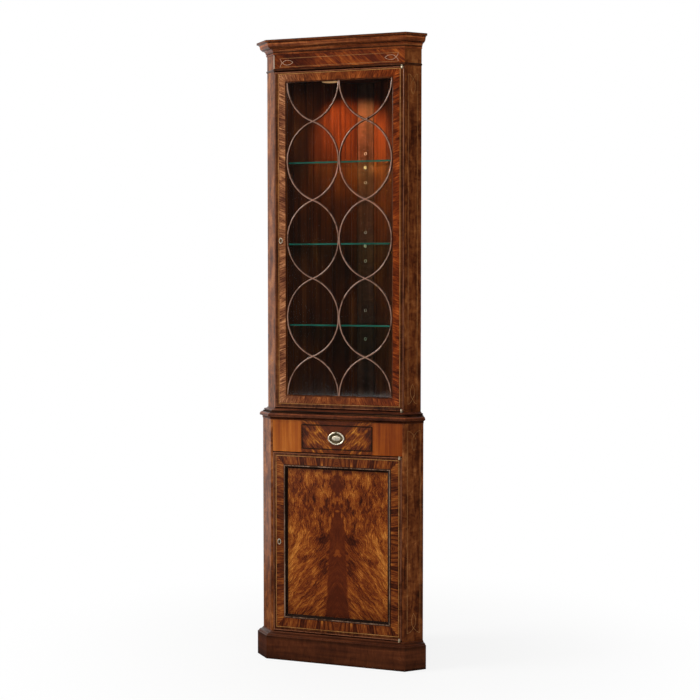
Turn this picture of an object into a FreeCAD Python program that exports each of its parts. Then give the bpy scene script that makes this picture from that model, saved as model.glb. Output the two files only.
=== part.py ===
import FreeCAD, Part

import math
import os

import Sketcher

# Driving dimensions of the corner cabinet, in millimetres.
SIZES = {
    # plan of the carcase
    "front_half_width": 261.0,
    "cant_width": 77.0,
    "upper_setback": 21.0,
    "side_board": 20.0,
    "back_board": 10.0,
    "board_groove": 1.6,
    # heights of the carcase
    "overall_height": 2290.0,
    "lower_stage_height": 924.7,
    "plinth_height": 83.0,
    "lower_bottom_board": 18.0,
    "lower_top_board": 18.0,
    "upper_bottom_board": 11.3,
    "upper_top_board": 18.0,
    "dust_board": 6.0,
    "frieze_height": 60.0,
    "frieze_board": 20.0,
    "door_stop_height": 8.0,
    # plinth
    "plinth_reach": 24.3,
    "plinth_board": 20.0,
    "plinth_moulding_height": 18.0,
    "bearer_board": 20.0,
    "bearer_height": 40.0,
    # mouldings
    "waist_height": 25.0,
    "waist_reach": 13.6,
    "waist_lift": 10.5,
    "base_moulding_height": 10.4,
    "base_moulding_reach": 17.5,
    "base_moulding_lift": 0.9,
    "astragal_height": 9.0,
    "astragal_reach": 4.0,
    "cornice_height": 50.0,
    "cornice_reach": 42.3,
    # doors
    "door_board": 20.0,
    "door_side_gap": 1.0,
    "door_end_gap": 3.5,
    "door_stop_gap": 2.0,
    "stile_width": 37.0,
    "edge_bead": 4.8,
    "edge_bead_sink": 1.2,
    "upper_bottom_rail": 38.2,
    "upper_top_rail": 29.7,
    "lower_bottom_rail": 45.2,
    "lower_top_rail": 39.7,
    "lip_width": 5.5,
    "lip_depth": 7.0,
    "lip_setback": 1.0,
    "lip_round": 4.0,
    "glass_pane": 3.0,
    "glass_play": 0.3,
    "glazing_bead": 6.0,
    "panel_board": 8.0,
    "panel_setback": 8.0,
    "panel_moulding_width": 14.0,
    "panel_moulding_rise": 10.5,
    # tracery of the upper door
    "bar_width": 8.0,
    "bar_height": 6.0,
    "bar_edge_inset": 1.5,
    # drawer and its housing
    "drawer_half_width": 138.3,
    "drawer_front_height": 89.8,
    "drawer_front_board": 20.0,
    "drawer_play": 0.8,
    "upper_drawer_rail": 24.5,
    "lower_drawer_rail": 12.8,
    "rail_board": 20.0,
    "drawer_bead": 3.0,
    "drawer_bead_rise": 1.5,
    "drawer_depth": 200.0,
    "drawer_side_height": 78.0,
    "drawer_side_board": 9.0,
    "drawer_bottom_board": 5.0,
    "drawer_box_inset": 1.5,
    "running_gap": 0.3,
    "runner_ledge": 12.0,
    "runner_overlap": 10.0,
    "runner_guide_width": 22.0,
    "runner_guide_height": 20.0,
    # drawer pull
    "pull_drop": 2.5,
    "pull_plate": 1.5,
    "pull_plate_half_width": 30.0,
    "pull_plate_half_height": 22.5,
    "pull_ring_half_width": 29.5,
    "pull_ring_half_height": 21.5,
    "pull_ring_round": 2.9,
    "pull_ring_gap": 0.4,
    "pull_eye_play": 0.3,
    "pull_boss_half_width": 16.5,
    "pull_boss_half_height": 10.0,
    "pull_boss_rise": 6.0,
    "pull_lug_width": 5.0,
    "pull_lug_wall": 1.6,
    # shelves, corner post and shelf pins
    "shelf_setback": 39.0,
    "glass_shelf": 6.0,
    "shelf_play": 2.0,
    "lowest_shelf_rise": 304.0,
    "shelf_pitch": 300.0,
    "pin_hole_pitch": 55.0,
    "post_width": 68.0,
    "pin_hole_depth": 10.0,
    "sleeve_round": 4.0,
    "pin_round": 2.5,
    "pin_play": 0.1,
    "pin_reach": 12.0,
    "lower_shelf_rise": 329.0,
    "lower_shelf_board": 16.0,
    # ceiling light
    "light_left": 85.0,
    "light_back": 139.0,
    "light_round": 33.0,
    "light_depth": 11.0,
    "lens_round": 29.0,
    "lens_depth": 2.0,
    # locks
    "lock_length": 38.0,
    "lock_above_key": 30.0,
    "lock_below_key": 18.0,
    "lock_thickness": 11.0,
    "lock_play": 0.2,
    "key_inset": 24.0,
    "key_round": 2.4,
    "key_slot_width": 2.6,
    "key_slot_drop": 6.5,
    "bolt_above_key": 12.0,
    "bolt_height": 14.0,
    "bolt_thickness": 5.0,
    "bolt_length": 22.0,
    "bolt_inset": 0.6,
    "bolt_play": 0.3,
    "bolt_setback": 3.0,
    "mortise_play": 1.2,
    "mortise_depth": 8.0,
    "escutcheon_half_width": 7.0,
    "escutcheon_half_height": 10.5,
    "escutcheon_plate": 1.2,
    # pivot hinges
    "hinge_inset": 8.3,
    "hinge_stand_off": 4.0,
    "hinge_knuckle_round": 3.4,
    "hinge_knuckle_inset": 4.5,
    "hinge_ear_round": 3.2,
    "hinge_leaf": 1.8,
    "hinge_leaf_length": 34.0,
    "hinge_leaf_width": 12.0,
    "hinge_leaf_setback": 3.0,
    "hinge_pin_round": 1.5,
    "hinge_pin_play": 0.06,
    "hinge_recess_play": 0.1,
    # how far a cut runs past what it cuts
    "overrun": 2.0,
}

ROOT_TWO = math.sqrt(2)
# a mitre between front and cant moves along the run by this share of the projection
MITRE_SHARE = ROOT_TWO - 1

FRONT_TURN = 180.0
LEFT_TURN = 135.0
RIGHT_TURN = 225.0
LEFT_WALL_TURN = 45.0
RIGHT_WALL_TURN = 135.0
SQUARE_TURN = 90.0

BACK_BOARD_COUNT = 5
SHELF_COUNT = 3
SPARE_HOLE_STEPS = (-1, 1)
OVAL_COUNT = 4
# an oval's end arcs have this share of its short half as their radius
OVAL_END_SHARE = 0.6
BOSS_SLOPE = 38.0
ROD_SIDES = 6

# Profiles as shares of a moulding's reach and height, with the arcs between the points:
# edge number: (radius as a share of the height, 1 where it curves to the left of travel).
CORNICE_SHARES = [
    (0.0, 0.0), (0.012, 0.0), (0.106, 0.08), (0.012, 0.16), (0.13, 0.16), (0.13, 0.2),
    (0.41, 0.39), (0.47, 0.39), (0.47, 0.44), (0.69, 0.64), (0.91, 0.83), (1.0, 0.83),
    (1.0, 0.97), (0.97, 1.0), (0.0, 1.0),
]
CORNICE_ARC_SHARES = {1: (0.08, 1), 2: (0.08, 1), 5: (0.24, -1), 8: (0.21, 1), 9: (0.21, -1)}
WAIST_SHARES = [
    (0.0, 0.0), (0.05, 0.0), (0.21, 0.09), (0.05, 0.18), (0.12, 0.22), (0.82, 0.42),
    (1.0, 0.46), (1.0, 0.62), (0.3, 0.97), (0.3, 1.0), (0.0, 1.0),
]
WAIST_ARC_SHARES = {1: (0.09, 1), 2: (0.09, 1), 4: (0.4, -1), 7: (0.45, 1)}
BASE_SHARES = [(0.0, 0.0), (0.95, 0.0), (1.0, 0.1), (1.0, 0.34), (0.6, 0.62), (0.16, 1.0), (0.0, 1.0)]
BASE_ARC_SHARES = {3: (0.6, 1), 4: (0.75, -1)}
PLINTH_MOULDING_SHARES = [
    (0.0, 0.0), (1.0, 0.0), (1.0, 0.14), (0.88, 0.3), (0.78, 0.3), (0.78, 0.42),
    (0.45, 0.66), (0.12, 0.94), (0.12, 1.0), (0.0, 1.0),
]
PLINTH_MOULDING_ARC_SHARES = {2: (0.18, 1), 5: (0.6, 1), 6: (0.6, -1)}
ASTRAGAL_SHARES = [(0.0, 0.0), (0.1, 0.05), (1.0, 0.5), (0.1, 0.95), (0.0, 1.0)]
ASTRAGAL_ARC_SHARES = {1: (0.5, 1), 2: (0.5, 1)}
# a glazing bar's section as shares of its width and height: a flat foot under a pointed ridge
BAR_SHARES = [(-0.5, 0.0), (0.5, 0.0), (0.5, -0.45), (0.0, -1.0), (-0.5, -0.45)]
BAR_LAP_SHARE = 0.5
PANEL_MOULDING_SHARES = [
    (0.0, 0.0), (1.0, 0.0), (1.0, 0.14), (0.76, 0.46), (0.62, 0.56), (0.3, 0.99), (0.08, 0.9), (0.0, 0.7),
]
PANEL_MOULDING_ARC_SHARES = {2: (0.5, 1), 4: (0.52, 1)}

doc = FreeCAD.newDocument("corner_cabinet")
sheet = doc.addObject("Spreadsheet::Sheet", "sizes")
for row, (name, value) in enumerate(SIZES.items(), start=1):
    sheet.set(f"A{row}", name)
    sheet.set(f"B{row}", str(value))
    sheet.setAlias(f"B{row}", name)
doc.recompute()


class Length:
    """A length that carries both its value and the sheet formula that gives it."""

    def __init__(self, value, formula):
        self.value = value
        self.formula = formula

    def __add__(self, other):
        other = as_length(other)
        return Length(self.value + other.value, f"({self.formula} + {other.formula})")

    def __radd__(self, other):
        return as_length(other) + self

    def __sub__(self, other):
        other = as_length(other)
        return Length(self.value - other.value, f"({self.formula} - {other.formula})")

    def __rsub__(self, other):
        return as_length(other) - self

    def __mul__(self, share):
        return Length(self.value * share, f"({self.formula} * {share:.12f})")

    def __rmul__(self, share):
        return self * share

    def __truediv__(self, share):
        return Length(self.value / share, f"({self.formula} / {share:.12f})")

    def __neg__(self):
        return Length(-self.value, f"(0 - {self.formula})")


class Sizes:
    """The sheet's cells as lengths, by name."""

    def __getattr__(self, name):
        return Length(float(sheet.get(name)), f"sizes.{name}")


def as_length(value):
    """A bare zero or a length, as a length."""
    return value if isinstance(value, Length) else Length(float(value), f"{float(value):.1f}")


def abs_length(length):
    """The length without its sign."""
    return length if length.value >= 0 else -length


size = Sizes()

# Plan: y = 0 is the front face of the lower stage, and the walls meet behind it.
wall_reach = size.front_half_width + size.cant_width * ROOT_TWO
inner_wall_reach = wall_reach - size.back_board * ROOT_TWO
plan_middle = (wall_reach - size.plinth_reach) / 2
no_offset = size.front_half_width * 0
upper_offset = -size.upper_setback
upper_face = size.upper_setback

# Heights of the faces that several pieces share.
lower_floor = size.plinth_height + size.lower_bottom_board
lower_door_bottom = lower_floor + size.door_end_gap
lower_ceiling = size.lower_stage_height - size.lower_top_board
drawer_bay_top = lower_ceiling - size.upper_drawer_rail
drawer_bay_bottom = drawer_bay_top - size.drawer_front_height - size.drawer_play * 2
drawer_rail_underside = drawer_bay_bottom - size.lower_drawer_rail
lower_door_top = drawer_rail_underside - size.door_end_gap
upper_floor = size.lower_stage_height + size.upper_bottom_board
upper_door_bottom = upper_floor + size.door_end_gap
carcase_top = size.overall_height - size.dust_board
cornice_foot = size.overall_height - size.cornice_height
frieze_foot = cornice_foot - size.frieze_height
upper_door_top = frieze_foot - size.door_end_gap
upper_ceiling = frieze_foot - size.upper_top_board
lower_key_height = (lower_door_bottom + lower_door_top) / 2
upper_key_height = (upper_door_bottom + upper_door_top) / 2
drawer_low = drawer_bay_bottom + size.drawer_play
pull_height = drawer_low + size.drawer_front_height / 2 - size.pull_drop
lower_shelf_height = lower_floor + size.lower_shelf_rise


def front_corner(offset):
    """Where the front meets the cant, on the plan grown by offset."""
    return size.front_half_width + offset * MITRE_SHARE, -offset


def wall_corner(offset):
    """Where the cant meets the wall, on the plan grown by offset."""
    return (
        size.front_half_width + (size.cant_width + offset) / ROOT_TWO,
        (size.cant_width - offset) / ROOT_TWO,
    )


def cant_run(offset):
    """Length of the cant on the plan grown by offset."""
    return size.cant_width + offset * MITRE_SHARE


def cant_line(offset):
    """x less y along the cant's face on the plan grown by offset."""
    return size.front_half_width + offset * ROOT_TWO


door_half_width = front_corner(upper_offset)[0] - size.door_side_gap
return_x = door_half_width + size.door_side_gap
frame_half_width = door_half_width - size.edge_bead
door_inner_x = frame_half_width - size.stile_width


def mirrored(points):
    """The outline on the other side of the cabinet, still turning the same way."""
    return [(-x, y) for x, y in reversed(points)]


def scaled(shares, reach, height):
    """Profile points from shares of a moulding's reach and height."""
    return [(reach * across, height * up) for across, up in shares]


def scaled_arcs(arc_shares, height):
    """Arc radii from shares of a moulding's height."""
    return {edge: (height * share, side) for edge, (share, side) in arc_shares.items()}


def bind(target, item, value):
    """Set one property of an object by the formula of a length."""
    target.setExpression(item, as_length(value).formula)


def place(target, x=0, y=0, z=0, turn=None):
    """Place an object by plan coordinates and turn it."""
    target.Placement = FreeCAD.Placement(FreeCAD.Vector(), turn or FreeCAD.Rotation())
    bind(target, "Placement.Base.x", x)
    bind(target, "Placement.Base.y", as_length(y) - plan_middle)
    bind(target, "Placement.Base.z", z)


def upright_turn(degrees):
    """A turn about the vertical axis."""
    return FreeCAD.Rotation(FreeCAD.Vector(0, 0, 1), degrees)


def new_body(label, x=0, y=0, z=0, turn=None):
    """A body of the cabinet, in its own local frame."""
    body = doc.addObject("PartDesign::Body", label)
    body.Label = label
    place(body, x, y, z, turn)
    return body


def new_sketch(body, plane, lift=0):
    """A sketch on one of the body's own planes, lifted along the plane's normal."""
    sketch = body.newObject("Sketcher::SketchObject", body.Name + "_sketch")
    origin_plane = [item for item in body.Origin.OriginFeatures if item.Role == plane + "_Plane"][0]
    sketch.AttachmentSupport = [(origin_plane, "")]
    sketch.MapMode = "FlatFace"
    bind(sketch, "AttachmentOffset.Base.z", lift)
    return sketch


def arc_between(start, end, radius, side):
    """The short arc from start to end whose centre is on the given side of travel."""
    middle = (start + end) / 2
    chord = end - start
    left = FreeCAD.Vector(-chord.y, chord.x, 0).normalize()
    rise = math.sqrt(max(radius * radius - chord.Length * chord.Length / 4, 0.0))
    centre = middle + left * (rise * side)
    first, last = (start, end) if side > 0 else (end, start)
    first_angle = math.atan2(first.y - centre.y, first.x - centre.x)
    last_angle = math.atan2(last.y - centre.y, last.x - centre.x)
    if last_angle < first_angle:
        last_angle += 2 * math.pi
    circle = Part.Circle(centre, FreeCAD.Vector(0, 0, 1), radius)
    return Part.ArcOfCircle(circle, first_angle, last_angle)


def draw_outline(sketch, points, arcs=None, closed=True):
    """Draw a line of edges through the points, and bind each corner and radius to the sheet."""
    arcs = arcs or {}
    points = [(as_length(x), as_length(y)) for x, y in points]
    spots = [FreeCAD.Vector(x.value, y.value, 0) for x, y in points]
    count = len(points)
    edges = count if closed else count - 1
    first = sketch.GeometryCount
    shapes = []
    ends = []
    for edge in range(edges):
        start, end = spots[edge], spots[(edge + 1) % count]
        if edge in arcs:
            radius, side = arcs[edge]
            shapes.append(arc_between(start, end, radius.value, side))
            ends.append((1, 2) if side > 0 else (2, 1))
        else:
            shapes.append(Part.LineSegment(start, end))
            ends.append((1, 2))
    sketch.addGeometry(shapes, False)
    held = sketch.ConstraintCount
    rules = []
    formulas = []
    for number, point in enumerate(points):
        edge, end = (number, 0) if number < edges else (number - 1, 1)
        for kind, value in zip(("DistanceX", "DistanceY"), point):
            rules.append(Sketcher.Constraint(kind, -1, 1, first + edge, ends[edge][end], value.value))
            formulas.append(value)
    for edge in range(edges):
        following = (edge + 1) % count
        if following < edges:
            rules.append(Sketcher.Constraint(
                "Coincident", first + edge, ends[edge][1], first + following, ends[following][0]))
            formulas.append(None)
        if edge in arcs:
            rules.append(Sketcher.Constraint("Radius", first + edge, arcs[edge][0].value))
            formulas.append(arcs[edge][0])
    sketch.addConstraint(rules)
    for number, value in enumerate(formulas):
        if value is not None:
            bind(sketch, f"Constraints[{held + number}]", value)


def arc_radius(rise, half_chord):
    """Radius of the arc that rises so far over a chord."""
    value = (rise.value ** 2 + half_chord.value ** 2) / (2 * rise.value)
    formula = f"((({rise.formula})^2 + ({half_chord.formula})^2) / (2 * ({rise.formula})))"
    return Length(value, formula)


def draw_circle(sketch, x, y, radius):
    """Draw a circle and bind its centre and radius to the sheet."""
    x, y = as_length(x), as_length(y)
    number = sketch.GeometryCount
    held = sketch.ConstraintCount
    centre = FreeCAD.Vector(x.value, y.value, 0)
    sketch.addGeometry(Part.Circle(centre, FreeCAD.Vector(0, 0, 1), radius.value), False)
    sketch.addConstraint([
        Sketcher.Constraint("DistanceX", -1, 1, number, 3, x.value),
        Sketcher.Constraint("DistanceY", -1, 1, number, 3, y.value),
        Sketcher.Constraint("Radius", number, radius.value),
    ])
    for step, value in enumerate((x, y, radius)):
        bind(sketch, f"Constraints[{held + step}]", value)


def pad(body, sketch, depth, reverse=False):
    """Grow the sketch along its normal."""
    feature = body.newObject("PartDesign::Pad", body.Name + "_pad")
    feature.Profile = sketch
    feature.Reversed = reverse
    bind(feature, "Length", depth)
    return feature


def turned_arc(body, sketch, start, end, radius, half_chord):
    """Turn the sketch about an axis from start to end, both ways from its plane.

    The angle is that of an arc of the radius over a chord of twice half_chord.
    """
    points = [(as_length(x), as_length(y)) for x, y in (start, end)]
    spots = [FreeCAD.Vector(x.value, y.value, 0) for x, y in points]
    axis = sketch.addGeometry(Part.LineSegment(*spots), True)
    held = sketch.ConstraintCount
    values = []
    for corner, point in enumerate(points):
        for kind, value in zip(("DistanceX", "DistanceY"), point):
            sketch.addConstraint(Sketcher.Constraint(kind, -1, 1, axis, corner + 1, value.value))
            values.append(value)
    for number, value in enumerate(values):
        bind(sketch, f"Constraints[{held + number}]", value)
    feature = body.newObject("PartDesign::Revolution", body.Name + "_turn")
    feature.Profile = sketch
    feature.ReferenceAxis = (sketch, ["Axis0"])
    feature.Midplane = True
    feature.setExpression("Angle", f"2 * asin(({half_chord.formula}) / ({radius.formula}))")
    return feature


def cut_through(body, sketch):
    """Cut the sketch through the whole body, and make sure that it took something away."""
    doc.recompute()
    before = body.Shape.Volume
    feature = body.newObject("PartDesign::Pocket", body.Name + "_cut")
    feature.Profile = sketch
    feature.Type = "ThroughAll"
    feature.SideType = "Symmetric"
    check_cut(body, before)
    return feature


def cut_in(body, sketch, depth, reverse=False):
    """Cut the sketch to a depth, and make sure that it took something away."""
    doc.recompute()
    before = body.Shape.Volume
    feature = body.newObject("PartDesign::Pocket", body.Name + "_cut")
    feature.Profile = sketch
    feature.Reversed = reverse
    bind(feature, "Length", depth)
    check_cut(body, before)
    return feature


def check_cut(body, before):
    """Stop where a cut left the body as it was."""
    doc.recompute()
    if not body.Shape.Volume < before:
        raise RuntimeError(f"a cut in {body.Label} took nothing away")


def plan_board(label, outline, low, high):
    """A board or panel that is one plan outline between two heights."""
    body = new_body(label)
    sketch = new_sketch(body, "XY", low)
    draw_outline(sketch, outline)
    pad(body, sketch, high - low)
    return body


def front_board(label, left, right, low, high, face, depth):
    """An upright board seen from the front, its face at the given depth in plan."""
    body = new_body(label, y=face)
    sketch = new_sketch(body, "XZ")
    draw_outline(sketch, [(left, low), (right, low), (right, high), (left, high)])
    pad(body, sketch, depth, reverse=True)
    return body


def grouped(label, members):
    """One node that holds several separate solids."""
    group = doc.addObject("Part::Compound", label)
    group.Label = label
    group.Links = members
    return group


def moulding_run(label, profile, arcs, low, high, reach, slopes, x, y, z, turn):
    """One length of moulding: its profile along local X, with mitred or square ends.

    low and high are the ends on the face the moulding is fixed to. A slope says how far
    an end moves outwards for each unit of reach, and None leaves it square.
    """
    body = new_body(label, x, y, z, turn)
    low_slope, high_slope = slopes
    start = low - reach * max(low_slope or 0, 0)
    end = high + reach * max(high_slope or 0, 0)
    sketch = new_sketch(body, "YZ", start)
    draw_outline(sketch, profile, arcs)
    pad(body, sketch, end - start)
    inside, outside = -size.overrun, reach + size.overrun
    if low_slope is not None:
        cutter = new_sketch(body, "XY")
        far = start - size.overrun * 2
        draw_outline(cutter, [
            (far, inside), (low - inside * low_slope, inside),
            (low - outside * low_slope, outside), (far, outside)])
        cut_through(body, cutter)
    if high_slope is not None:
        cutter = new_sketch(body, "XY")
        far = end + size.overrun * 2
        draw_outline(cutter, [
            (high + inside * high_slope, inside), (far, inside),
            (far, outside), (high + outside * high_slope, outside)])
        cut_through(body, cutter)
    return body


def wrapped_moulding(label, shares, arc_shares, offset, foot, reach, height):
    """A moulding in three lengths along the left cant, the front and the right cant."""
    profile = scaled(shares, reach, height)
    arcs = scaled_arcs(arc_shares, height)
    corner_x, corner_y = front_corner(offset)
    run = cant_run(offset)
    front = moulding_run(
        label + "_front", profile, arcs, -corner_x, corner_x, reach,
        (MITRE_SHARE, MITRE_SHARE), 0, corner_y, foot, upright_turn(FRONT_TURN))
    left = moulding_run(
        label + "_left", profile, arcs, as_length(0), run, reach,
        (MITRE_SHARE, None), -corner_x, corner_y, foot, upright_turn(LEFT_TURN))
    right = moulding_run(
        label + "_right", profile, arcs, -run, as_length(0), reach,
        (None, MITRE_SHARE), corner_x, corner_y, foot, upright_turn(RIGHT_TURN))
    return grouped(label, [left, front, right])


def framed_moulding(label, profile, arcs, half_width, low, high, reach, face):
    """A moulding in four mitred lengths round the inside of an upright rectangle.

    The profile's first number runs inwards from the rectangle's edge and its second
    number runs forwards from the given face.
    """
    middle = (low + high) / 2
    half_height = (high - low) / 2
    spots = [
        ("bottom", 0, low, half_width), ("right", half_width, middle, half_height),
        ("top", 0, high, half_width), ("left", -half_width, middle, half_height),
    ]
    forwards = FreeCAD.Rotation(FreeCAD.Vector(1, 0, 0), SQUARE_TURN)
    runs = []
    for number, (name, x, z, half_run) in enumerate(spots):
        turn = FreeCAD.Rotation(FreeCAD.Vector(0, 1, 0), -SQUARE_TURN * number).multiply(forwards)
        runs.append(moulding_run(
            f"{label}_{name}", profile, arcs, -half_run, half_run, reach, (-1, -1), x, face, z, turn))
    return grouped(label, runs)


def full_plan(offset):
    """The whole plan between the walls, grown by offset."""
    corner, wall = front_corner(offset), wall_corner(offset)
    return [(-corner[0], corner[1]), corner, wall, (0, wall_reach), (-wall[0], wall[1])]


def inner_plan(offset, front, play=0):
    """The plan inside the side boards and back panels, from a given front edge."""
    play = as_length(play)
    across = cant_line(offset - size.side_board) - play * ROOT_TWO
    reach = inner_wall_reach - play * ROOT_TWO
    return_depth = return_x - across
    right = [(across + front, front)]
    if return_depth.value > front.value:
        right = [(return_x, front), (return_x, return_depth)]
    right.append(((across + reach) / 2, (reach - across) / 2))
    return right, reach


def closed_plan(offset, front, play=0):
    """A board's outline inside the carcase, up to the back corner."""
    right, reach = inner_plan(offset, front, play)
    return right + [(0, reach)] + mirrored(right)


def cant_board_plan(offset):
    """The right canted side board: face, wall end, inner face and the edge beside the door."""
    corner, wall = front_corner(offset), wall_corner(offset)
    inner = wall_corner(offset - size.side_board)
    edge = (return_x, return_x - cant_line(offset - size.side_board))
    plan = [corner, wall, inner, edge]
    if corner[0].value > return_x.value:
        plan.append((return_x, corner[1]))
    return plan


def make_plinth():
    """Plinth boards, the rails and cleats behind them, and the moulding on top."""
    outside, inside = size.plinth_reach, size.plinth_reach - size.plinth_board
    outer, inner = front_corner(outside), front_corner(inside)
    front = [(-outer[0], outer[1]), outer, inner, (-inner[0], inner[1])]
    end = [outer, wall_corner(outside), wall_corner(inside), inner]
    nodes = [plan_board("plinth_front", front, as_length(0), size.plinth_height)]
    nodes.append(grouped("plinth_ends", [
        plan_board("plinth_end_right", end, as_length(0), size.plinth_height),
        plan_board("plinth_end_left", mirrored(end), as_length(0), size.plinth_height)]))

    cleat = inside - size.bearer_board
    behind = front_corner(cleat)
    cleat_front = [(-inner[0], inner[1]), inner, behind, (-behind[0], behind[1])]
    cleat_end = [inner, wall_corner(inside), wall_corner(cleat), behind]
    rail_line = wall_reach - size.bearer_board * ROOT_TWO
    across = cant_line(cleat)
    rail = [wall_corner(cleat), (0, wall_reach), (0, rail_line),
            ((across + rail_line) / 2, (rail_line - across) / 2)]
    cleat_foot = size.plinth_height - size.bearer_height
    nodes.append(grouped("plinth_bearers", [
        plan_board("plinth_cleat_front", cleat_front, cleat_foot, size.plinth_height),
        plan_board("plinth_cleat_right", cleat_end, cleat_foot, size.plinth_height),
        plan_board("plinth_cleat_left", mirrored(cleat_end), cleat_foot, size.plinth_height),
        plan_board("plinth_rail_right", rail, as_length(0), size.plinth_height),
        plan_board("plinth_rail_left", mirrored(rail), as_length(0), size.plinth_height)]))
    nodes.append(wrapped_moulding(
        "plinth_moulding", PLINTH_MOULDING_SHARES, PLINTH_MOULDING_ARC_SHARES, no_offset,
        size.plinth_height, size.plinth_reach, size.plinth_moulding_height))
    return nodes


def make_floor_board(label, offset, face, low, top):
    """A bottom board with the raised stop that the closed door meets."""
    body = plan_board(label, full_plan(offset), low, top)
    sketch = new_sketch(body, "XY", top)
    stop_front = face + size.door_board + size.door_stop_gap
    draw_outline(sketch, closed_plan(offset, stop_front))
    pad(body, sketch, size.door_stop_height)
    return body


def cut_bolt_mortise(body, face, key_height):
    """Cut the mortise that a lock's bolt enters, in the left board's edge beside the door."""
    middle_y = face + size.door_board - size.lock_thickness + size.bolt_setback + size.bolt_thickness / 2
    middle_z = key_height + size.bolt_above_key
    half_y = size.bolt_thickness / 2 + size.mortise_play
    half_z = size.bolt_height / 2 + size.mortise_play
    sketch = new_sketch(body, "YZ", -return_x)
    draw_outline(sketch, [
        (middle_y - half_y, middle_z - half_z), (middle_y + half_y, middle_z - half_z),
        (middle_y + half_y, middle_z + half_z), (middle_y - half_y, middle_z + half_z)])
    cut_in(body, sketch, size.mortise_depth)


def make_sides(prefix, offset, face, low, high, key_height):
    """The two canted side boards of a stage."""
    plan = cant_board_plan(offset)
    right = plan_board(prefix + "_side_right", plan, low, high)
    left = plan_board(prefix + "_side_left", mirrored(plan), low, high)
    cut_bolt_mortise(left, face, key_height)
    return [left, right]


def make_back(label, offset, low, high, turn, side):
    """One back panel of upright boards with V joints on the inside."""
    start_x, start_y = wall_corner(offset - size.side_board)
    run = start_x * ROOT_TWO
    inner_face = size.back_board * side
    body = new_body(label, start_x * side, start_y, 0, upright_turn(turn))
    sketch = new_sketch(body, "XY", low)
    draw_outline(sketch, [(0, 0), (run, 0), (run - size.back_board, inner_face), (0, inner_face)])
    pad(body, sketch, high - low)
    board = run / BACK_BOARD_COUNT
    half_groove = size.board_groove
    groove = new_sketch(body, "XY")
    draw_outline(groove, [
        (board - half_groove, inner_face), (board, inner_face - half_groove * side),
        (board + half_groove, inner_face)])
    feature = cut_through(body, groove)
    pattern = body.newObject("PartDesign::LinearPattern", label + "_grooves")
    pattern.Originals = [feature]
    x_axis = [item for item in body.Origin.OriginFeatures if item.Role == "X_Axis"][0]
    pattern.Direction = (x_axis, [""])
    pattern.Occurrences = BACK_BOARD_COUNT - 1
    bind(pattern, "Length", board * (BACK_BOARD_COUNT - 2))
    body.Tip = pattern
    return body


def make_drawer_housing():
    """Rails above and below the drawer, the fixed panels beside it, runners and kickers."""
    bay_half = size.drawer_half_width + size.drawer_play
    nodes = [
        front_board("drawer_rail_upper", -bay_half, bay_half, drawer_bay_top, lower_ceiling,
                    no_offset, size.rail_board),
        front_board("drawer_rail_lower", -bay_half, bay_half, drawer_rail_underside,
                    drawer_bay_bottom, no_offset, size.rail_board),
        grouped("drawer_side_panels", [
            front_board("drawer_panel_right", bay_half, return_x, drawer_rail_underside,
                        lower_ceiling, no_offset, size.rail_board),
            front_board("drawer_panel_left", -return_x, -bay_half, drawer_rail_underside,
                        lower_ceiling, no_offset, size.rail_board)]),
    ]
    box_half = size.drawer_half_width - size.drawer_box_inset
    ledge_in = box_half - size.runner_overlap
    guide_in = box_half + size.running_gap
    guide_out = guide_in + size.runner_guide_width
    front = size.rail_board
    ledge = [(ledge_in, front), (guide_out, front),
             (guide_out, inner_wall_reach - guide_out), (ledge_in, inner_wall_reach - ledge_in)]
    guide = [(guide_in, front), (guide_out, front),
             (guide_out, inner_wall_reach - guide_out), (guide_in, inner_wall_reach - guide_in)]
    members = []
    for hand, turned in (("right", lambda plan: plan), ("left", mirrored)):
        runner = plan_board("drawer_runner_" + hand, turned(ledge),
                            drawer_bay_bottom - size.runner_ledge, drawer_bay_bottom)
        sketch = new_sketch(runner, "XY", drawer_bay_bottom)
        draw_outline(sketch, turned(guide))
        pad(runner, sketch, size.runner_guide_height)
        members.append(runner)
        members.append(plan_board("drawer_kicker_" + hand, turned(ledge), drawer_bay_top, lower_ceiling))
    nodes.append(grouped("drawer_runners", members))
    return nodes


def make_lower_stage():
    """The fixed boards of the lower stage."""
    nodes = [make_floor_board("lower_bottom_board", no_offset, no_offset, size.plinth_height, lower_floor)]
    nodes += make_sides("lower", no_offset, no_offset, lower_floor, lower_ceiling, lower_key_height)
    nodes.append(make_back("lower_back_right", no_offset, lower_floor, lower_ceiling, RIGHT_WALL_TURN, 1))
    nodes.append(make_back("lower_back_left", no_offset, lower_floor, lower_ceiling, LEFT_WALL_TURN, -1))
    shelf_front = size.shelf_setback + size.upper_setback
    nodes.append(plan_board("lower_shelf", closed_plan(no_offset, shelf_front), lower_shelf_height,
                            lower_shelf_height + size.lower_shelf_board))
    nodes.append(plan_board("lower_top_board", full_plan(no_offset), lower_ceiling, size.lower_stage_height))
    nodes.append(wrapped_moulding(
        "waist_moulding", WAIST_SHARES, WAIST_ARC_SHARES, no_offset, lower_ceiling - size.waist_lift,
        size.waist_reach, size.waist_height))
    return nodes


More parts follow.
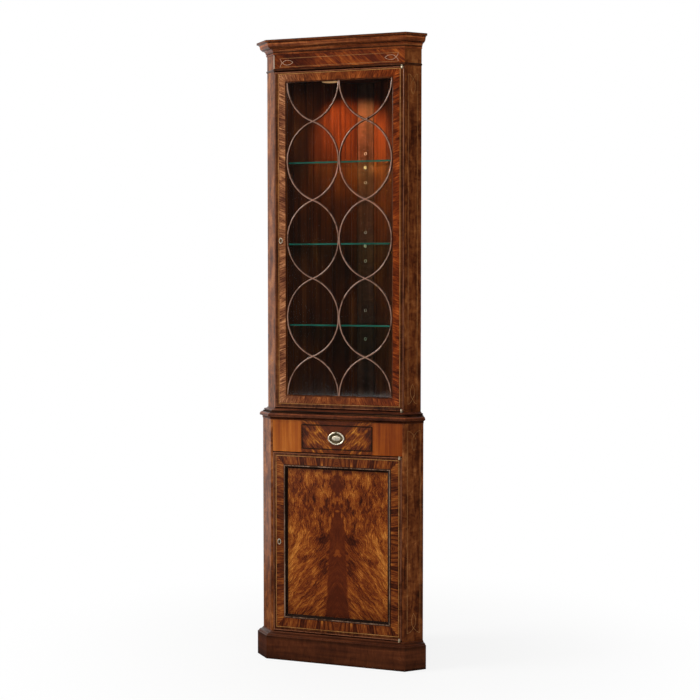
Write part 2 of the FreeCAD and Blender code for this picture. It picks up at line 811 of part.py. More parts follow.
def make_upper_stage():
    """The fixed boards and mouldings of the upper stage."""
    nodes = [make_floor_board("upper_bottom_board", upper_offset, upper_face,
                              size.lower_stage_height, upper_floor)]
    nodes.append(wrapped_moulding(
        "upper_base_moulding", BASE_SHARES, BASE_ARC_SHARES, upper_offset,
        size.lower_stage_height + size.base_moulding_lift, size.base_moulding_reach,
        size.base_moulding_height))
    nodes += make_sides("upper", upper_offset, upper_face, upper_floor, carcase_top, upper_key_height)
    nodes.append(make_back("upper_back_right", upper_offset, upper_floor, carcase_top, RIGHT_WALL_TURN, 1))
    nodes.append(make_back("upper_back_left", upper_offset, upper_floor, carcase_top, LEFT_WALL_TURN, -1))
    stop_front = upper_face + size.door_board + size.door_stop_gap
    nodes.append(plan_board("upper_top_board", closed_plan(upper_offset, stop_front),
                            upper_ceiling, frieze_foot))
    nodes.append(front_board("frieze", -return_x, return_x, frieze_foot, carcase_top,
                             upper_face, size.frieze_board))
    nodes.append(wrapped_moulding(
        "frieze_astragal", ASTRAGAL_SHARES, ASTRAGAL_ARC_SHARES, upper_offset, frieze_foot,
        size.astragal_reach, size.astragal_height))
    nodes.append(wrapped_moulding(
        "cornice", CORNICE_SHARES, CORNICE_ARC_SHARES, upper_offset, cornice_foot,
        size.cornice_reach, size.cornice_height))
    nodes.append(plan_board("dust_board", full_plan(upper_offset), carcase_top, size.overall_height))
    return nodes


post_half = size.post_width / 2
post_face = inner_wall_reach - post_half


def pin_heights():
    """Heights of the shelf pins, and of the spare holes above and below each."""
    lowest = upper_floor + size.lowest_shelf_rise
    pins = [lowest + size.shelf_pitch * number for number in range(SHELF_COUNT)]
    spares = [pin + size.pin_hole_pitch * step for pin in pins for step in SPARE_HOLE_STEPS]
    return pins, spares


def pin_columns():
    """Local frames of the three columns of holes: name, x, y, turn about the vertical.

    In each frame the board's face is the XZ plane and the cabinet's inside is towards -Y.
    """
    line = cant_line(upper_offset - size.side_board)
    wall_x, wall_y = (line + inner_wall_reach) / 2, (inner_wall_reach - line) / 2
    middle_x = (return_x + wall_x) / 2
    middle_y = (return_x - line + wall_y) / 2
    return [
        ("post", as_length(0), post_face, 0.0),
        ("right", middle_x, middle_y, -RIGHT_WALL_TURN),
        ("left", -middle_x, middle_y, RIGHT_WALL_TURN),
    ]


def make_post_and_fittings(sides):
    """The back corner post, the holes in it and in the sides, and the shelf pins in their sleeves."""
    post = plan_board("back_corner_post", [(-post_half, post_face), (post_half, post_face),
                                           (0, inner_wall_reach)],
                      upper_floor + size.door_stop_height, upper_ceiling)
    pins, spares = pin_heights()
    boards, fittings = [], []
    for (name, x, y, turn), board in zip(pin_columns(), [post] + sides):
        drill = new_body("drill_" + name, x, y, 0, upright_turn(turn))
        sketch = new_sketch(drill, "XZ")
        for height in pins:
            draw_circle(sketch, 0, height, size.sleeve_round)
        for height in spares:
            draw_circle(sketch, 0, height, size.pin_round + size.pin_play)
        pad(drill, sketch, size.pin_hole_depth, reverse=True)
        drilled = doc.addObject("Part::Cut", board.Label + "_drilled")
        drilled.Base = board
        drilled.Tool = drill
        board.Label = board.Label + "_blank"
        drilled.Label = board.Label.replace("_blank", "")
        boards.append(drilled)

        fitting = new_body("pins_" + name, x, y, 0, upright_turn(turn))
        sleeve = new_sketch(fitting, "XZ")
        peg = new_sketch(fitting, "XZ")
        for height in pins:
            draw_circle(sleeve, 0, height, size.sleeve_round)
            draw_circle(peg, 0, height, size.pin_round)
        pad(fitting, sleeve, size.pin_hole_depth, reverse=True)
        pad(fitting, peg, size.pin_reach)
        fittings.append(fitting)
    return boards + [grouped("shelf_pins_and_sleeves", fittings)]


def make_glass_shelves():
    """Three glass shelves that rest on the pins."""
    front = upper_face + size.shelf_setback
    right, reach = inner_plan(upper_offset, front, size.shelf_play)
    back = post_face - size.shelf_play
    right.append((reach - back, back))
    outline = right + mirrored(right)
    pins, _ = pin_heights()
    shelves = []
    for number, pin in enumerate(pins, start=1):
        underside = pin + size.pin_round
        shelves.append(plan_board(f"glass_shelf_{number}", outline, underside, underside + size.glass_shelf))
    return [grouped("glass_shelves", shelves)]


def make_light():
    """The small round light under the ceiling: a housing with its lens on the underside."""
    ring = new_body("light_housing", -size.light_left, size.light_back + upper_face, 0)
    sketch = new_sketch(ring, "XY", upper_ceiling - size.light_depth + size.lens_depth)
    draw_circle(sketch, 0, 0, size.light_round)
    pad(ring, sketch, size.light_depth - size.lens_depth)
    lens = new_body("light_lens", -size.light_left, size.light_back + upper_face, 0)
    sketch = new_sketch(lens, "XY", upper_ceiling - size.light_depth)
    draw_circle(sketch, 0, 0, size.lens_round)
    pad(lens, sketch, size.lens_depth)
    return [ring, lens]


def block(label, low, high):
    """A rectangular block between two corners."""
    box = doc.addObject("Part::Box", label)
    box.Label = label
    for side, first, last in zip(("Length", "Width", "Height"), low, high):
        bind(box, side, as_length(last) - first)
    place(box, *low)
    return box


def rod(label, x, y, low, high, radius):
    """An upright round rod."""
    cylinder = doc.addObject("Part::Cylinder", label)
    cylinder.Label = label
    bind(cylinder, "Radius", radius)
    bind(cylinder, "Height", high - low)
    place(cylinder, x, y, low)
    return cylinder


def fused(label, members):
    """Several forms joined into one solid."""
    joined = doc.addObject("Part::MultiFuse", label)
    joined.Label = label
    joined.Shapes = members
    return joined


def cut_away(label, base, tool):
    """One form with another taken out of it."""
    remains = doc.addObject("Part::Cut", label)
    remains.Label = label
    remains.Base = base
    remains.Tool = tool
    return remains


hinge_x = door_half_width - size.hinge_inset


def make_hinge(name, face, door_edge, frame_edge, up):
    """One pivot hinge. up is 1 where the frame is above the door and -1 where it is below.

    Returns the frame leaf with its pin, and the door leaf with its round knuckle.
    """
    axis_y = face - size.hinge_stand_off
    leaf_end = hinge_x + size.hinge_ear_round
    leaf_start = leaf_end - size.hinge_leaf_length
    leaf_front = face + size.hinge_leaf_setback
    leaf_back = leaf_front + size.hinge_leaf_width

    def slab(part, start, front, end, back, one_side, other_side):
        low, high = (one_side, other_side) if one_side.value < other_side.value else (other_side, one_side)
        return block(f"{name}_{part}", (start, front, low), (end, back, high))

    def post(part, radius, one_side, other_side):
        low, high = (one_side, other_side) if one_side.value < other_side.value else (other_side, one_side)
        return rod(f"{name}_{part}", hinge_x, axis_y, low, high, radius)

    neck_start, neck_end = hinge_x - size.hinge_ear_round, hinge_x + size.hinge_ear_round
    frame_skin = frame_edge - size.hinge_leaf * up
    knuckle_middle = door_edge - size.hinge_knuckle_inset * up
    knuckle_low = knuckle_middle - size.hinge_knuckle_round
    knuckle_high = knuckle_middle + size.hinge_knuckle_round
    pin_end = knuckle_middle - size.hinge_pin_round * up
    frame_leaf = fused(name + "_frame_leaf", [
        slab("frame_plate", leaf_start, leaf_front, leaf_end, leaf_back, frame_skin, frame_edge),
        slab("frame_neck", neck_start, axis_y, neck_end, leaf_front, frame_skin, frame_edge),
        post("frame_ear", size.hinge_ear_round, frame_skin, frame_edge),
        post("pin", size.hinge_pin_round, pin_end, frame_edge)])
    door_skin = door_edge - size.hinge_leaf * up
    knuckle = fused(name + "_door_form", [
        slab("door_plate", leaf_start, leaf_front, leaf_end, leaf_back, door_skin, door_edge),
        slab("door_neck", neck_start, axis_y, neck_end, leaf_front, door_skin, door_edge),
        post("door_ear", size.hinge_ear_round, door_skin, door_edge),
        post("knuckle", size.hinge_knuckle_round, knuckle_low, knuckle_high)])
    hole = post("pin_hole", size.hinge_pin_round + size.hinge_pin_play,
                pin_end - size.hinge_pin_play * up, door_edge + size.overrun * up)
    return frame_leaf, cut_away(name + "_door_leaf", knuckle, hole)


def hinge_recess(name, face, door_edge, up):
    """The space that a door leaf needs in the door's edge."""
    play = size.hinge_recess_play
    leaf_end = hinge_x + size.hinge_ear_round
    skin = door_edge - (size.hinge_leaf + play) * up
    beyond = door_edge + size.overrun * up
    low, high = (skin, beyond) if up > 0 else (beyond, skin)
    plate = block(name + "_plate_recess",
                  (leaf_end - size.hinge_leaf_length - play, face + size.hinge_leaf_setback - play, low),
                  (leaf_end + play, face + size.hinge_leaf_setback + size.hinge_leaf_width + play, high))
    neck = block(name + "_neck_recess",
                 (hinge_x - size.hinge_ear_round - play, face - size.hinge_stand_off, low),
                 (hinge_x + size.hinge_ear_round + play, face + size.hinge_leaf_setback, high))
    middle = door_edge - size.hinge_knuckle_inset * up
    reach = size.hinge_knuckle_round + play
    room = block(name + "_knuckle_recess", (hinge_x - reach, face - size.hinge_stand_off, middle - reach),
                 (hinge_x + reach, face - size.hinge_stand_off + reach, middle + reach))
    return [plate, neck, room]


def make_lock(prefix, face, key_height):
    """A cut lock let into the back of the left stile, its escutcheon and its bolt."""
    back = face + size.door_board
    front = back - size.lock_thickness
    edge = -door_half_width
    key_x = edge + size.key_inset
    case = block(prefix + "_lock_case", (edge + size.edge_bead, front, key_height - size.lock_below_key),
                 (edge + size.lock_length, back, key_height + size.lock_above_key))
    bolt_front = front + size.bolt_setback
    bolt_middle = key_height + size.bolt_above_key
    half_height = size.bolt_height / 2
    play = size.bolt_play
    slot = block(prefix + "_bolt_slot", (edge, bolt_front - play, bolt_middle - half_height - play),
                 (edge + size.bolt_inset + size.bolt_length + play, bolt_front + size.bolt_thickness + play,
                  bolt_middle + half_height + play))
    bolt = block(prefix + "_lock_bolt", (edge + size.bolt_inset, bolt_front, bolt_middle - half_height),
                 (edge + size.bolt_inset + size.bolt_length, bolt_front + size.bolt_thickness,
                  bolt_middle + half_height))
    hollow_case = cut_away(prefix + "_lock_body", case, slot)

    plate = new_body(prefix + "_escutcheon", key_x, face, key_height)
    sketch = new_sketch(plate, "XZ")
    draw_oval(sketch, size.escutcheon_half_width, size.escutcheon_half_height)
    pad(plate, sketch, size.escutcheon_plate)
    hole = new_sketch(plate, "XZ")
    draw_circle(hole, 0, 0, size.key_round)
    cut_through(plate, hole)
    slit = new_sketch(plate, "XZ")
    half_slot = size.key_slot_width / 2
    draw_outline(slit, [(-half_slot, -size.key_slot_drop), (half_slot, -size.key_slot_drop),
                        (half_slot, 0), (-half_slot, 0)])
    cut_through(plate, slit)
    lock = grouped(prefix + "_door_lock", [hollow_case, plate])
    return lock, bolt


def oval_arcs(long_half, short_half):
    """Four tangent arcs that make an oval: end radius, flat radius, and where they meet."""
    end = short_half * OVAL_END_SHARE
    a, b, r = long_half, short_half, end
    flat = Length((a.value ** 2 + b.value ** 2 - 2 * a.value * r.value) / (2 * (b.value - r.value)),
                  f"((({a.formula})^2 + ({b.formula})^2 - 2 * ({a.formula}) * ({r.formula}))"
                  f" / (2 * ({b.formula} - {r.formula})))")
    along = Length((a.value - r.value) * flat.value / (flat.value - r.value),
                   f"(({a.formula} - {r.formula}) * {flat.formula} / ({flat.formula} - {r.formula}))")
    across = Length(r.value * (flat.value - b.value) / (flat.value - r.value),
                    f"({r.formula} * ({flat.formula} - {b.formula}) / ({flat.formula} - {r.formula}))")
    return end, flat, along, across


def draw_oval(sketch, half_width, half_height):
    """Draw an upright or lying oval of four tangent arcs."""
    if half_width.value > half_height.value:
        side_radius, end_radius, x, z = oval_arcs(half_width, half_height)
    else:
        end_radius, side_radius, z, x = oval_arcs(half_height, half_width)
    draw_outline(sketch, [(x, -z), (x, z), (-x, z), (-x, -z)],
                 {0: (side_radius, 1), 1: (end_radius, 1), 2: (side_radius, 1), 3: (end_radius, 1)})


def lock_recess(prefix, face, key_height):
    """The space that a lock and its keyhole need in the left stile."""
    play = size.lock_play
    back = face + size.door_board
    edge = -door_half_width
    pocket = block(prefix + "_lock_recess",
                   (edge, back - size.lock_thickness - play, key_height - size.lock_below_key - play),
                   (edge + size.lock_length + play, back + size.overrun,
                    key_height + size.lock_above_key + play))
    drill = doc.addObject("Part::Cylinder", prefix + "_keyhole")
    bind(drill, "Radius", size.key_round)
    bind(drill, "Height", size.door_board)
    place(drill, edge + size.key_inset, face - size.overrun, key_height,
          FreeCAD.Rotation(FreeCAD.Vector(1, 0, 0), -SQUARE_TURN))
    return pocket, drill


def bolt_passage(prefix, face, key_height):
    """The slot in the door's edge bead that the bolt slides through."""
    play = size.bolt_play
    front = face + size.door_board - size.lock_thickness + size.bolt_setback
    middle = key_height + size.bolt_above_key
    half_height = size.bolt_height / 2 + play
    return block(prefix + "_bolt_passage",
                 (-door_half_width - size.overrun, front - play, middle - half_height),
                 (-frame_half_width, front + size.bolt_thickness + play, middle + half_height))


def make_stile(label, side, face, low, high, lip):
    """An upright of a door frame. lip gives the heights between which it carries a glazing lip."""
    body = new_body(label, y=face)
    sketch = new_sketch(body, "XY", low)
    plan = [(door_inner_x, 0), (frame_half_width, 0), (frame_half_width, size.door_board),
            (door_inner_x, size.door_board)]
    draw_outline(sketch, plan if side > 0 else mirrored(plan))
    pad(body, sketch, high - low)
    if lip:
        add_lip(body, "XY", lip, door_inner_x, side)
    return body


def lip_profile(edge, side):
    """The glazing lip's section: out from the frame's edge, rounded at its front corner."""
    inner = edge - size.lip_width
    front, back = size.lip_setback, size.lip_setback + size.lip_depth
    points = [(edge, front), (edge, back), (inner, back), (inner, front + size.lip_round),
              (inner + size.lip_round, front)]
    if side > 0:
        return points, {3: (size.lip_round, -1)}
    return [(-x, y) for x, y in points], {3: (size.lip_round, 1)}


def add_lip(body, plane, ends, edge, side):
    """Pad the glazing lip on to a stile, and mitre both of its ends."""
    low, high = ends
    sketch = new_sketch(body, plane, low)
    points, arcs = lip_profile(edge, side)
    draw_outline(sketch, points, arcs)
    pad(body, sketch, high - low)
    inner = edge - size.lip_width
    past = inner - size.overrun
    cutter = new_sketch(body, "XZ")
    slope = size.lip_width + size.overrun
    for height, sign in ((low, 1), (high, -1)):
        corners = [(edge, height), (past, height), (past, height + slope * sign)]
        draw_outline(cutter, corners if side > 0 else [(-x, z) for x, z in corners])
    cut_through(body, cutter)


def make_rail(label, face, low, high, lip_side):
    """A cross rail of a door frame. lip_side is 1 for a lip above it, -1 below, 0 for none."""
    body = new_body(label, y=face)
    sketch = new_sketch(body, "YZ", -door_inner_x)
    draw_outline(sketch, [(0, low), (size.door_board, low), (size.door_board, high), (0, high)])
    pad(body, sketch, door_inner_x * 2)
    if lip_side:
        edge = high if lip_side > 0 else low
        inner = edge + size.lip_width * lip_side
        front, back = size.lip_setback, size.lip_setback + size.lip_depth
        sketch = new_sketch(body, "YZ", -door_inner_x)
        draw_outline(sketch, [(front, edge), (back, edge), (back, inner),
                              (front + size.lip_round, inner), (front, inner - size.lip_round * lip_side)],
                     {3: (size.lip_round, lip_side)})
        pad(body, sketch, door_inner_x * 2)
        cutter = new_sketch(body, "XZ")
        past = inner + size.overrun * lip_side
        slope = size.lip_width + size.overrun
        for sign in (1, -1):
            draw_outline(cutter, [(door_inner_x * sign, edge), (door_inner_x * sign, past),
                                  ((door_inner_x - slope) * sign, past)])
        cut_through(body, cutter)
    return body


def make_edge_bead(label, face, low, high, recesses):
    """The rounded bead in four mitred lengths round a door's edge, cut for hinges and bolt."""
    width, sink = size.edge_bead, size.edge_bead_sink
    crown = width / 2 - sink
    profile = [(0, -size.door_board), (width, -size.door_board), (width, -sink), (width / 2, crown), (0, -sink)]
    arcs = {2: (width / 2, 1), 3: (width / 2, 1)}
    runs = framed_moulding(label + "_strips", profile, arcs, door_half_width, low, high, width, face)
    return cut_away(label, runs, fused(label + "_recesses", recesses))


def make_upper_door():
    """The glazed door: frame, glass, beads, tracery, lock and hinge leaves."""
    low, high = upper_door_bottom, upper_door_top
    frame_low, frame_high = low + size.edge_bead, high - size.edge_bead
    glass_low = frame_low + size.upper_bottom_rail
    glass_high = frame_high - size.upper_top_rail
    face = upper_face
    stile_right = make_stile("upper_door_stile_right", 1, face, frame_low, frame_high, (glass_low, glass_high))
    stile_left = make_stile("upper_door_stile_left_blank", -1, face, frame_low, frame_high,
                            (glass_low, glass_high))
    pocket, drill = lock_recess("upper", face, upper_key_height)
    stile_left = cut_away("upper_door_stile_left", stile_left, fused("upper_stile_cuts", [pocket, drill]))
    rails = [
        make_rail("upper_door_rail_bottom", face, frame_low, glass_low, 1),
        make_rail("upper_door_rail_top", face, glass_high, frame_high, -1),
    ]
    play = size.glass_play
    glass_front = face + size.lip_setback + size.lip_depth
    glass = front_board("upper_door_glass", -(door_inner_x - play), door_inner_x - play,
                        glass_low + play, glass_high - play, glass_front, size.glass_pane)
    bead_depth = size.door_board - size.lip_setback - size.lip_depth - size.glass_pane
    glazing_profile = [(0, -bead_depth), (size.glazing_bead, 0), (0, 0)]
    glazing = framed_moulding(
        "glazing_beads", glazing_profile, {0: (size.door_board, -1)}, door_inner_x,
        glass_low, glass_high, size.glazing_bead, glass_front + size.glass_pane)
    lock, bolt = make_lock("upper", face, upper_key_height)
    leaves = [
        make_hinge("upper_bottom_hinge", face, low, upper_floor, -1),
        make_hinge("upper_top_hinge", face, high, frieze_foot, 1),
    ]
    recesses = hinge_recess("upper_bottom", face, low, -1) + hinge_recess("upper_top", face, high, 1)
    recesses.append(bolt_passage("upper", face, upper_key_height))
    edge = make_edge_bead("upper_door_bead", face, low, high, recesses)
    door_leaves = grouped("upper_door_hinge_leaves", [door for _, door in leaves])
    nodes = [stile_left, stile_right] + rails + [glass, glazing, edge, lock, door_leaves, bolt]
    nodes.append(make_tracery(glass_low + size.lip_width, glass_high - size.lip_width, face))
    return nodes, [frame for frame, _ in leaves]


def make_serpentine(label, top_x, far_x, low, high, face):
    """One glazing bar: a ridged section turned along tangent arcs from top_x to far_x and back.

    The first and last arcs run on past the door's opening, which cuts them off.
    """
    body = new_body(label, y=face + size.lip_setback + size.lip_depth)
    quarter = (high - low) / (OVAL_COUNT * 2)
    swing = abs_length(top_x - far_x) / 2
    radius = arc_radius(swing, quarter)
    side = 1 if top_x.value > far_x.value else -1
    arcs = []
    for number, (x, inward) in enumerate(((top_x, -side), (far_x, side))):
        section = new_sketch(body, "XY", high - quarter * (number * 2))
        draw_outline(section, [(x + across, rise) for across, rise in
                               scaled(BAR_SHARES, size.bar_width, size.bar_height)])
        centre = x + radius * inward
        arcs.append(turned_arc(body, section, (centre, 0), (centre, size.bar_height), radius, quarter))
    swings = body.newObject("PartDesign::LinearPattern", label + "_swings")
    swings.Originals = arcs
    z_axis = [item for item in body.Origin.OriginFeatures if item.Role == "Z_Axis"][0]
    swings.Direction = (z_axis, [""])
    swings.Reversed = True
    swings.Occurrences = OVAL_COUNT // 2 + 1
    bind(swings, "Length", (high - low) * (OVAL_COUNT // 2) * 2 / OVAL_COUNT)
    body.Tip = swings
    return body


def lap(label, base, tool):
    """What two forms have in common."""
    common = doc.addObject("Part::Common", label)
    common.Label = label
    common.Base = base
    common.Tool = tool
    return common


def make_tracery(low, high, face):
    """Two columns of two interlaced serpentine bars, halved into each other where they cross."""
    half_opening = door_inner_x - size.lip_width
    glass_front = face + size.lip_setback + size.lip_depth
    bar_front = glass_front - size.bar_height - size.overrun
    bar_middle = glass_front - size.bar_height * BAR_LAP_SHARE
    bar_back = glass_front + size.overrun
    bars = []
    for column, side in (("left", -1), ("right", 1)):
        outer, inner = (half_opening - size.bar_edge_inset) * side, size.bar_edge_inset * side
        near, far = (as_length(0), half_opening) if side > 0 else (-half_opening, as_length(0))
        name = "bar_" + column
        field = block(name + "_field", (near, bar_front, low), (far, bar_back, high))
        front_half = block(name + "_front_half", (near, bar_front, low), (far, bar_middle, high))
        back_half = block(name + "_back_half", (near, bar_middle, low), (far, bar_back, high))
        first = lap(name + "_first", make_serpentine(name + "_first_rod", outer, inner, low, high, face), field)
        second = lap(name + "_second", make_serpentine(name + "_second_rod", inner, outer, low, high, face), field)
        bars.append(cut_away(name + "_over", first, lap(name + "_under_lap", second, back_half)))
        bars.append(cut_away(name + "_under", second, lap(name + "_over_lap", first, front_half)))
    return grouped("tracery", bars)


def make_lower_door():
    """The panelled door: frame, panel, dark moulding, bead, lock and hinge leaves."""
    low, high = lower_door_bottom, lower_door_top
    frame_low, frame_high = low + size.edge_bead, high - size.edge_bead
    panel_low = frame_low + size.lower_bottom_rail
    panel_high = frame_high - size.lower_top_rail
    face = no_offset
    stile_right = make_stile("lower_door_stile_right", 1, face, frame_low, frame_high, None)
    stile_left = make_stile("lower_door_stile_left_blank", -1, face, frame_low, frame_high, None)
    pocket, drill = lock_recess("lower", face, lower_key_height)
    stile_left = cut_away("lower_door_stile_left", stile_left, fused("lower_stile_cuts", [pocket, drill]))
    rails = [
        make_rail("lower_door_rail_bottom", face, frame_low, panel_low, 0),
        make_rail("lower_door_rail_top", face, panel_high, frame_high, 0),
    ]
    panel = front_board("lower_door_panel", -door_inner_x, door_inner_x, panel_low, panel_high,
                        face + size.panel_setback, size.panel_board)
    moulding = framed_moulding(
        "lower_panel_moulding", scaled(PANEL_MOULDING_SHARES, size.panel_moulding_width, size.panel_moulding_rise),
        scaled_arcs(PANEL_MOULDING_ARC_SHARES, size.panel_moulding_rise), door_inner_x, panel_low,
        panel_high, size.panel_moulding_width, face + size.panel_setback)
    lock, bolt = make_lock("lower", face, lower_key_height)
    leaves = [
        make_hinge("lower_bottom_hinge", face, low, lower_floor, -1),
        make_hinge("lower_top_hinge", face, high, drawer_rail_underside, 1),
    ]
    recesses = hinge_recess("lower_bottom", face, low, -1) + hinge_recess("lower_top", face, high, 1)
    recesses.append(bolt_passage("lower", face, lower_key_height))
    edge = make_edge_bead("lower_door_bead", face, low, high, recesses)
    door_leaves = grouped("lower_door_hinge_leaves", [door for _, door in leaves])
    nodes = [stile_left, stile_right] + rails + [panel, moulding, edge, lock, door_leaves, bolt]
    return nodes, [frame for frame, _ in leaves]


def make_drawer():
    """The drawer box and its oval ring pull."""
    half, board = size.drawer_half_width, size.drawer_side_board
    low, high = drawer_low, drawer_low + size.drawer_front_height
    front = front_board("drawer_front", -half, half, low, high, no_offset, size.drawer_front_board)
    rim = new_sketch(front, "XZ")
    bead = size.drawer_bead
    draw_outline(rim, [(-half, low), (half, low), (half, high), (-half, high)])
    draw_outline(rim, [(-half + bead, low + bead), (half - bead, low + bead),
                       (half - bead, high - bead), (-half + bead, high - bead)])
    pad(front, rim, size.drawer_bead_rise)

    box_half = half - size.drawer_box_inset
    box_low = drawer_bay_bottom + size.running_gap
    box_front, box_back = size.drawer_front_board, size.drawer_depth
    side_top = box_low + size.drawer_side_height
    sides = grouped("drawer_sides", [
        block("drawer_side_right", (box_half - board, box_front, box_low), (box_half, box_back, side_top)),
        block("drawer_side_left", (-box_half, box_front, box_low), (board - box_half, box_back, side_top))])
    back = block("drawer_back", (board - box_half, box_back - board, box_low + size.drawer_bottom_board),
                 (box_half - board, box_back, side_top))
    bottom = block("drawer_bottom", (board - box_half, box_front, box_low),
                   (box_half - board, box_back, box_low + size.drawer_bottom_board))
    plate, ring = make_pull()
    return [front, sides, back, bottom, plate, ring]


def make_pull():
    """The oval plate with its boss and lug, and the oval ring that hangs from the lug."""
    ring_y = -(size.pull_plate + size.pull_ring_gap + size.pull_ring_round)
    ring_top = pull_height + size.pull_ring_half_height
    plate = new_body("pull_plate_oval", 0, 0, pull_height)
    sketch = new_sketch(plate, "XZ")
    draw_oval(sketch, size.pull_plate_half_width, size.pull_plate_half_height)
    pad(plate, sketch, size.pull_plate)
    boss = new_sketch(plate, "XZ", size.pull_plate)
    draw_oval(boss, size.pull_boss_half_width, size.pull_boss_half_height)
    pad(plate, boss, size.pull_boss_rise).TaperAngle = -BOSS_SLOPE
    hole_round = size.pull_ring_round + size.pull_eye_play
    lug = doc.addObject("Part::Cylinder", "pull_lug")
    bind(lug, "Radius", hole_round + size.pull_lug_wall)
    bind(lug, "Height", size.pull_lug_width)
    sideways = FreeCAD.Rotation(FreeCAD.Vector(0, 1, 0), SQUARE_TURN)
    place(lug, -size.pull_lug_width / 2, ring_y, ring_top, sideways)
    trim = block("pull_lug_trim", (-size.pull_lug_width, as_length(0), ring_top - size.pull_ring_half_height),
                 (size.pull_lug_width, size.overrun, ring_top + size.pull_ring_half_height))
    lug_form = cut_away("pull_lug_form", lug, trim)
    eye = doc.addObject("Part::Cylinder", "pull_eye")
    bind(eye, "Radius", hole_round)
    bind(eye, "Height", size.pull_lug_width + size.overrun * 2)
    place(eye, -size.pull_lug_width / 2 - size.overrun, ring_y, ring_top, sideways)
    body = cut_away("drawer_pull_plate", fused("pull_plate_form", [plate, lug_form]), eye)
    ring = make_ring("drawer_pull_ring", ring_y, size.pull_ring_half_width, size.pull_ring_half_height,
                     size.pull_ring_round)
    return body, ring


def make_ring(label, y, half_width, half_height, radius):
    """A six-sided rod bent to an upright oval that faces the front."""
    body = new_body(label, 0, y, pull_height)
    end, flat, x, z = oval_arcs(half_width, half_height)
    turns = [math.pi * number * 2 / ROD_SIDES for number in range(ROD_SIDES)]
    rod_shares = [(math.cos(turn), math.sin(turn)) for turn in turns]
    for side in (-1, 1):
        section = new_sketch(body, "YZ")
        draw_outline(section, [(radius * out, half_height * side + radius * up) for out, up in rod_shares])
        centre = (half_height - flat) * side
        turned_arc(body, section, (0, centre), (radius, centre), flat, x)
    for side in (-1, 1):
        section = new_sketch(body, "XY")
        draw_outline(section, [(half_width * side + radius * across, radius * out) for out, across in rod_shares])
        centre = (half_width - end) * side
        turned_arc(body, section, (centre, 0), (centre, radius), end, z)
    return body


def make_cabinet():
    """Every node of the cabinet, in the order it would be put together."""
    nodes = make_plinth() + make_lower_stage() + make_drawer_housing()
    upper = make_upper_stage()
    sides = [node for node in upper if node.Label in ("upper_side_right", "upper_side_left")]
    sides.sort(key=lambda node: node.Label, reverse=True)
    nodes += [node for node in upper if node not in sides]
    nodes += make_post_and_fittings(sides) + make_glass_shelves() + make_light()
    upper_door, upper_leaves = make_upper_door()
    lower_door, lower_leaves = make_lower_door()
    nodes += upper_door + lower_door + make_drawer()
    nodes.append(grouped("hinge_frame_leaves", upper_leaves + lower_leaves))
    return nodes


def write_nodes(nodes):
    """Check every object, then write one STEP file for each node."""
    doc.recompute()
    for item in doc.Objects:
        if "Invalid" in item.State or "Error" in item.State:
            raise RuntimeError(f"{item.Label} failed: {item.State}")
    names = [node.Label for node in nodes]
    if len(set(names)) != len(names):
        raise RuntimeError("two nodes share a name")
    for node in nodes:
        if node.Shape.isNull() or not node.Shape.isValid():
            raise RuntimeError(f"{node.Label} has no valid shape")
    os.makedirs("parts", exist_ok=True)
    for node in nodes:
        node.Shape.exportStep(f"parts/{node.Label}.step")


write_nodes(make_cabinet())
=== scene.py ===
"""Looks of a tall corner display cabinet in figured mahogany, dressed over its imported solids.

Lengths are millimetres unless a name or docstring says otherwise; Blender itself works in metres.
"""

import logging
import math
from collections.abc import Iterable, Sequence
from dataclasses import dataclass, replace
from enum import Enum

import bmesh
import bpy
from mathutils import Matrix, Vector


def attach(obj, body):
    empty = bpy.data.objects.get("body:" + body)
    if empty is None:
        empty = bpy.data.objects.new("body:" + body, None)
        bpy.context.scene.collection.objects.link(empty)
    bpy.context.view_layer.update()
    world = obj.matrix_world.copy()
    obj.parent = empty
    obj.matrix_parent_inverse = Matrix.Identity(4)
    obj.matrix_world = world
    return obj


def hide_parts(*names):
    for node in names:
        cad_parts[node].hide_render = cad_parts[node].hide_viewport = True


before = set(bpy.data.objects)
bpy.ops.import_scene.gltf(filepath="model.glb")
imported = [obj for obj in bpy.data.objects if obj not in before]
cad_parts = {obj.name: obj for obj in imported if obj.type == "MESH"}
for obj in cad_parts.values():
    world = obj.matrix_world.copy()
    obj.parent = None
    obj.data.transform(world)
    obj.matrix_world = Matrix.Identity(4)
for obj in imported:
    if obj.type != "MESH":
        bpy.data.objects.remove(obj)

LOG = logging.getLogger("corner_cabinet")
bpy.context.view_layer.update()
MM = 0.001
BAND_UV = "banding"
# Edges that bend by more than this stay sharp.
SHARP_ANGLE = math.radians(40)
# Where a figure without depth cuts through the noise, in metres.
NOISE_CUT = 0.37
# How far apart in the noise opposite lengths of a banding lie, in metres.
BAND_SHIFT = 0.31
# Where the dark and the pale patches of noise begin.
NOISE_DARK, NOISE_PALE = 0.3, 0.7
# Half width and inset of the sheet that an inlay is made from, in metres.
SHEET, INSET = 0.05, 0.01
# Refraction of old polish and of float glass.
REFRACTION = 1.5

Pair = tuple[float, float]
Triple = tuple[float, float, float]
Tree = bpy.types.NodeTree
Node = bpy.types.Node
# What an input of a node takes: a node's first output, a socket or a plain value.
Source = Node | bpy.types.NodeSocket | float


def linear(colour: str) -> tuple[float, float, float, float]:
    """Turns an sRGB hex colour into Blender's linear colour.

    Args:
        colour: six hex digits with a leading hash.

    Returns:
        Red, green, blue and an alpha of one.
    """
    parts = [int(colour[i : i + 2], 16) / 255 for i in (1, 3, 5)]
    red, green, blue = (
        part / 12.92 if part <= 0.04045 else ((part + 0.055) / 1.055) ** 2.4 for part in parts
    )
    return red, green, blue, 1.0


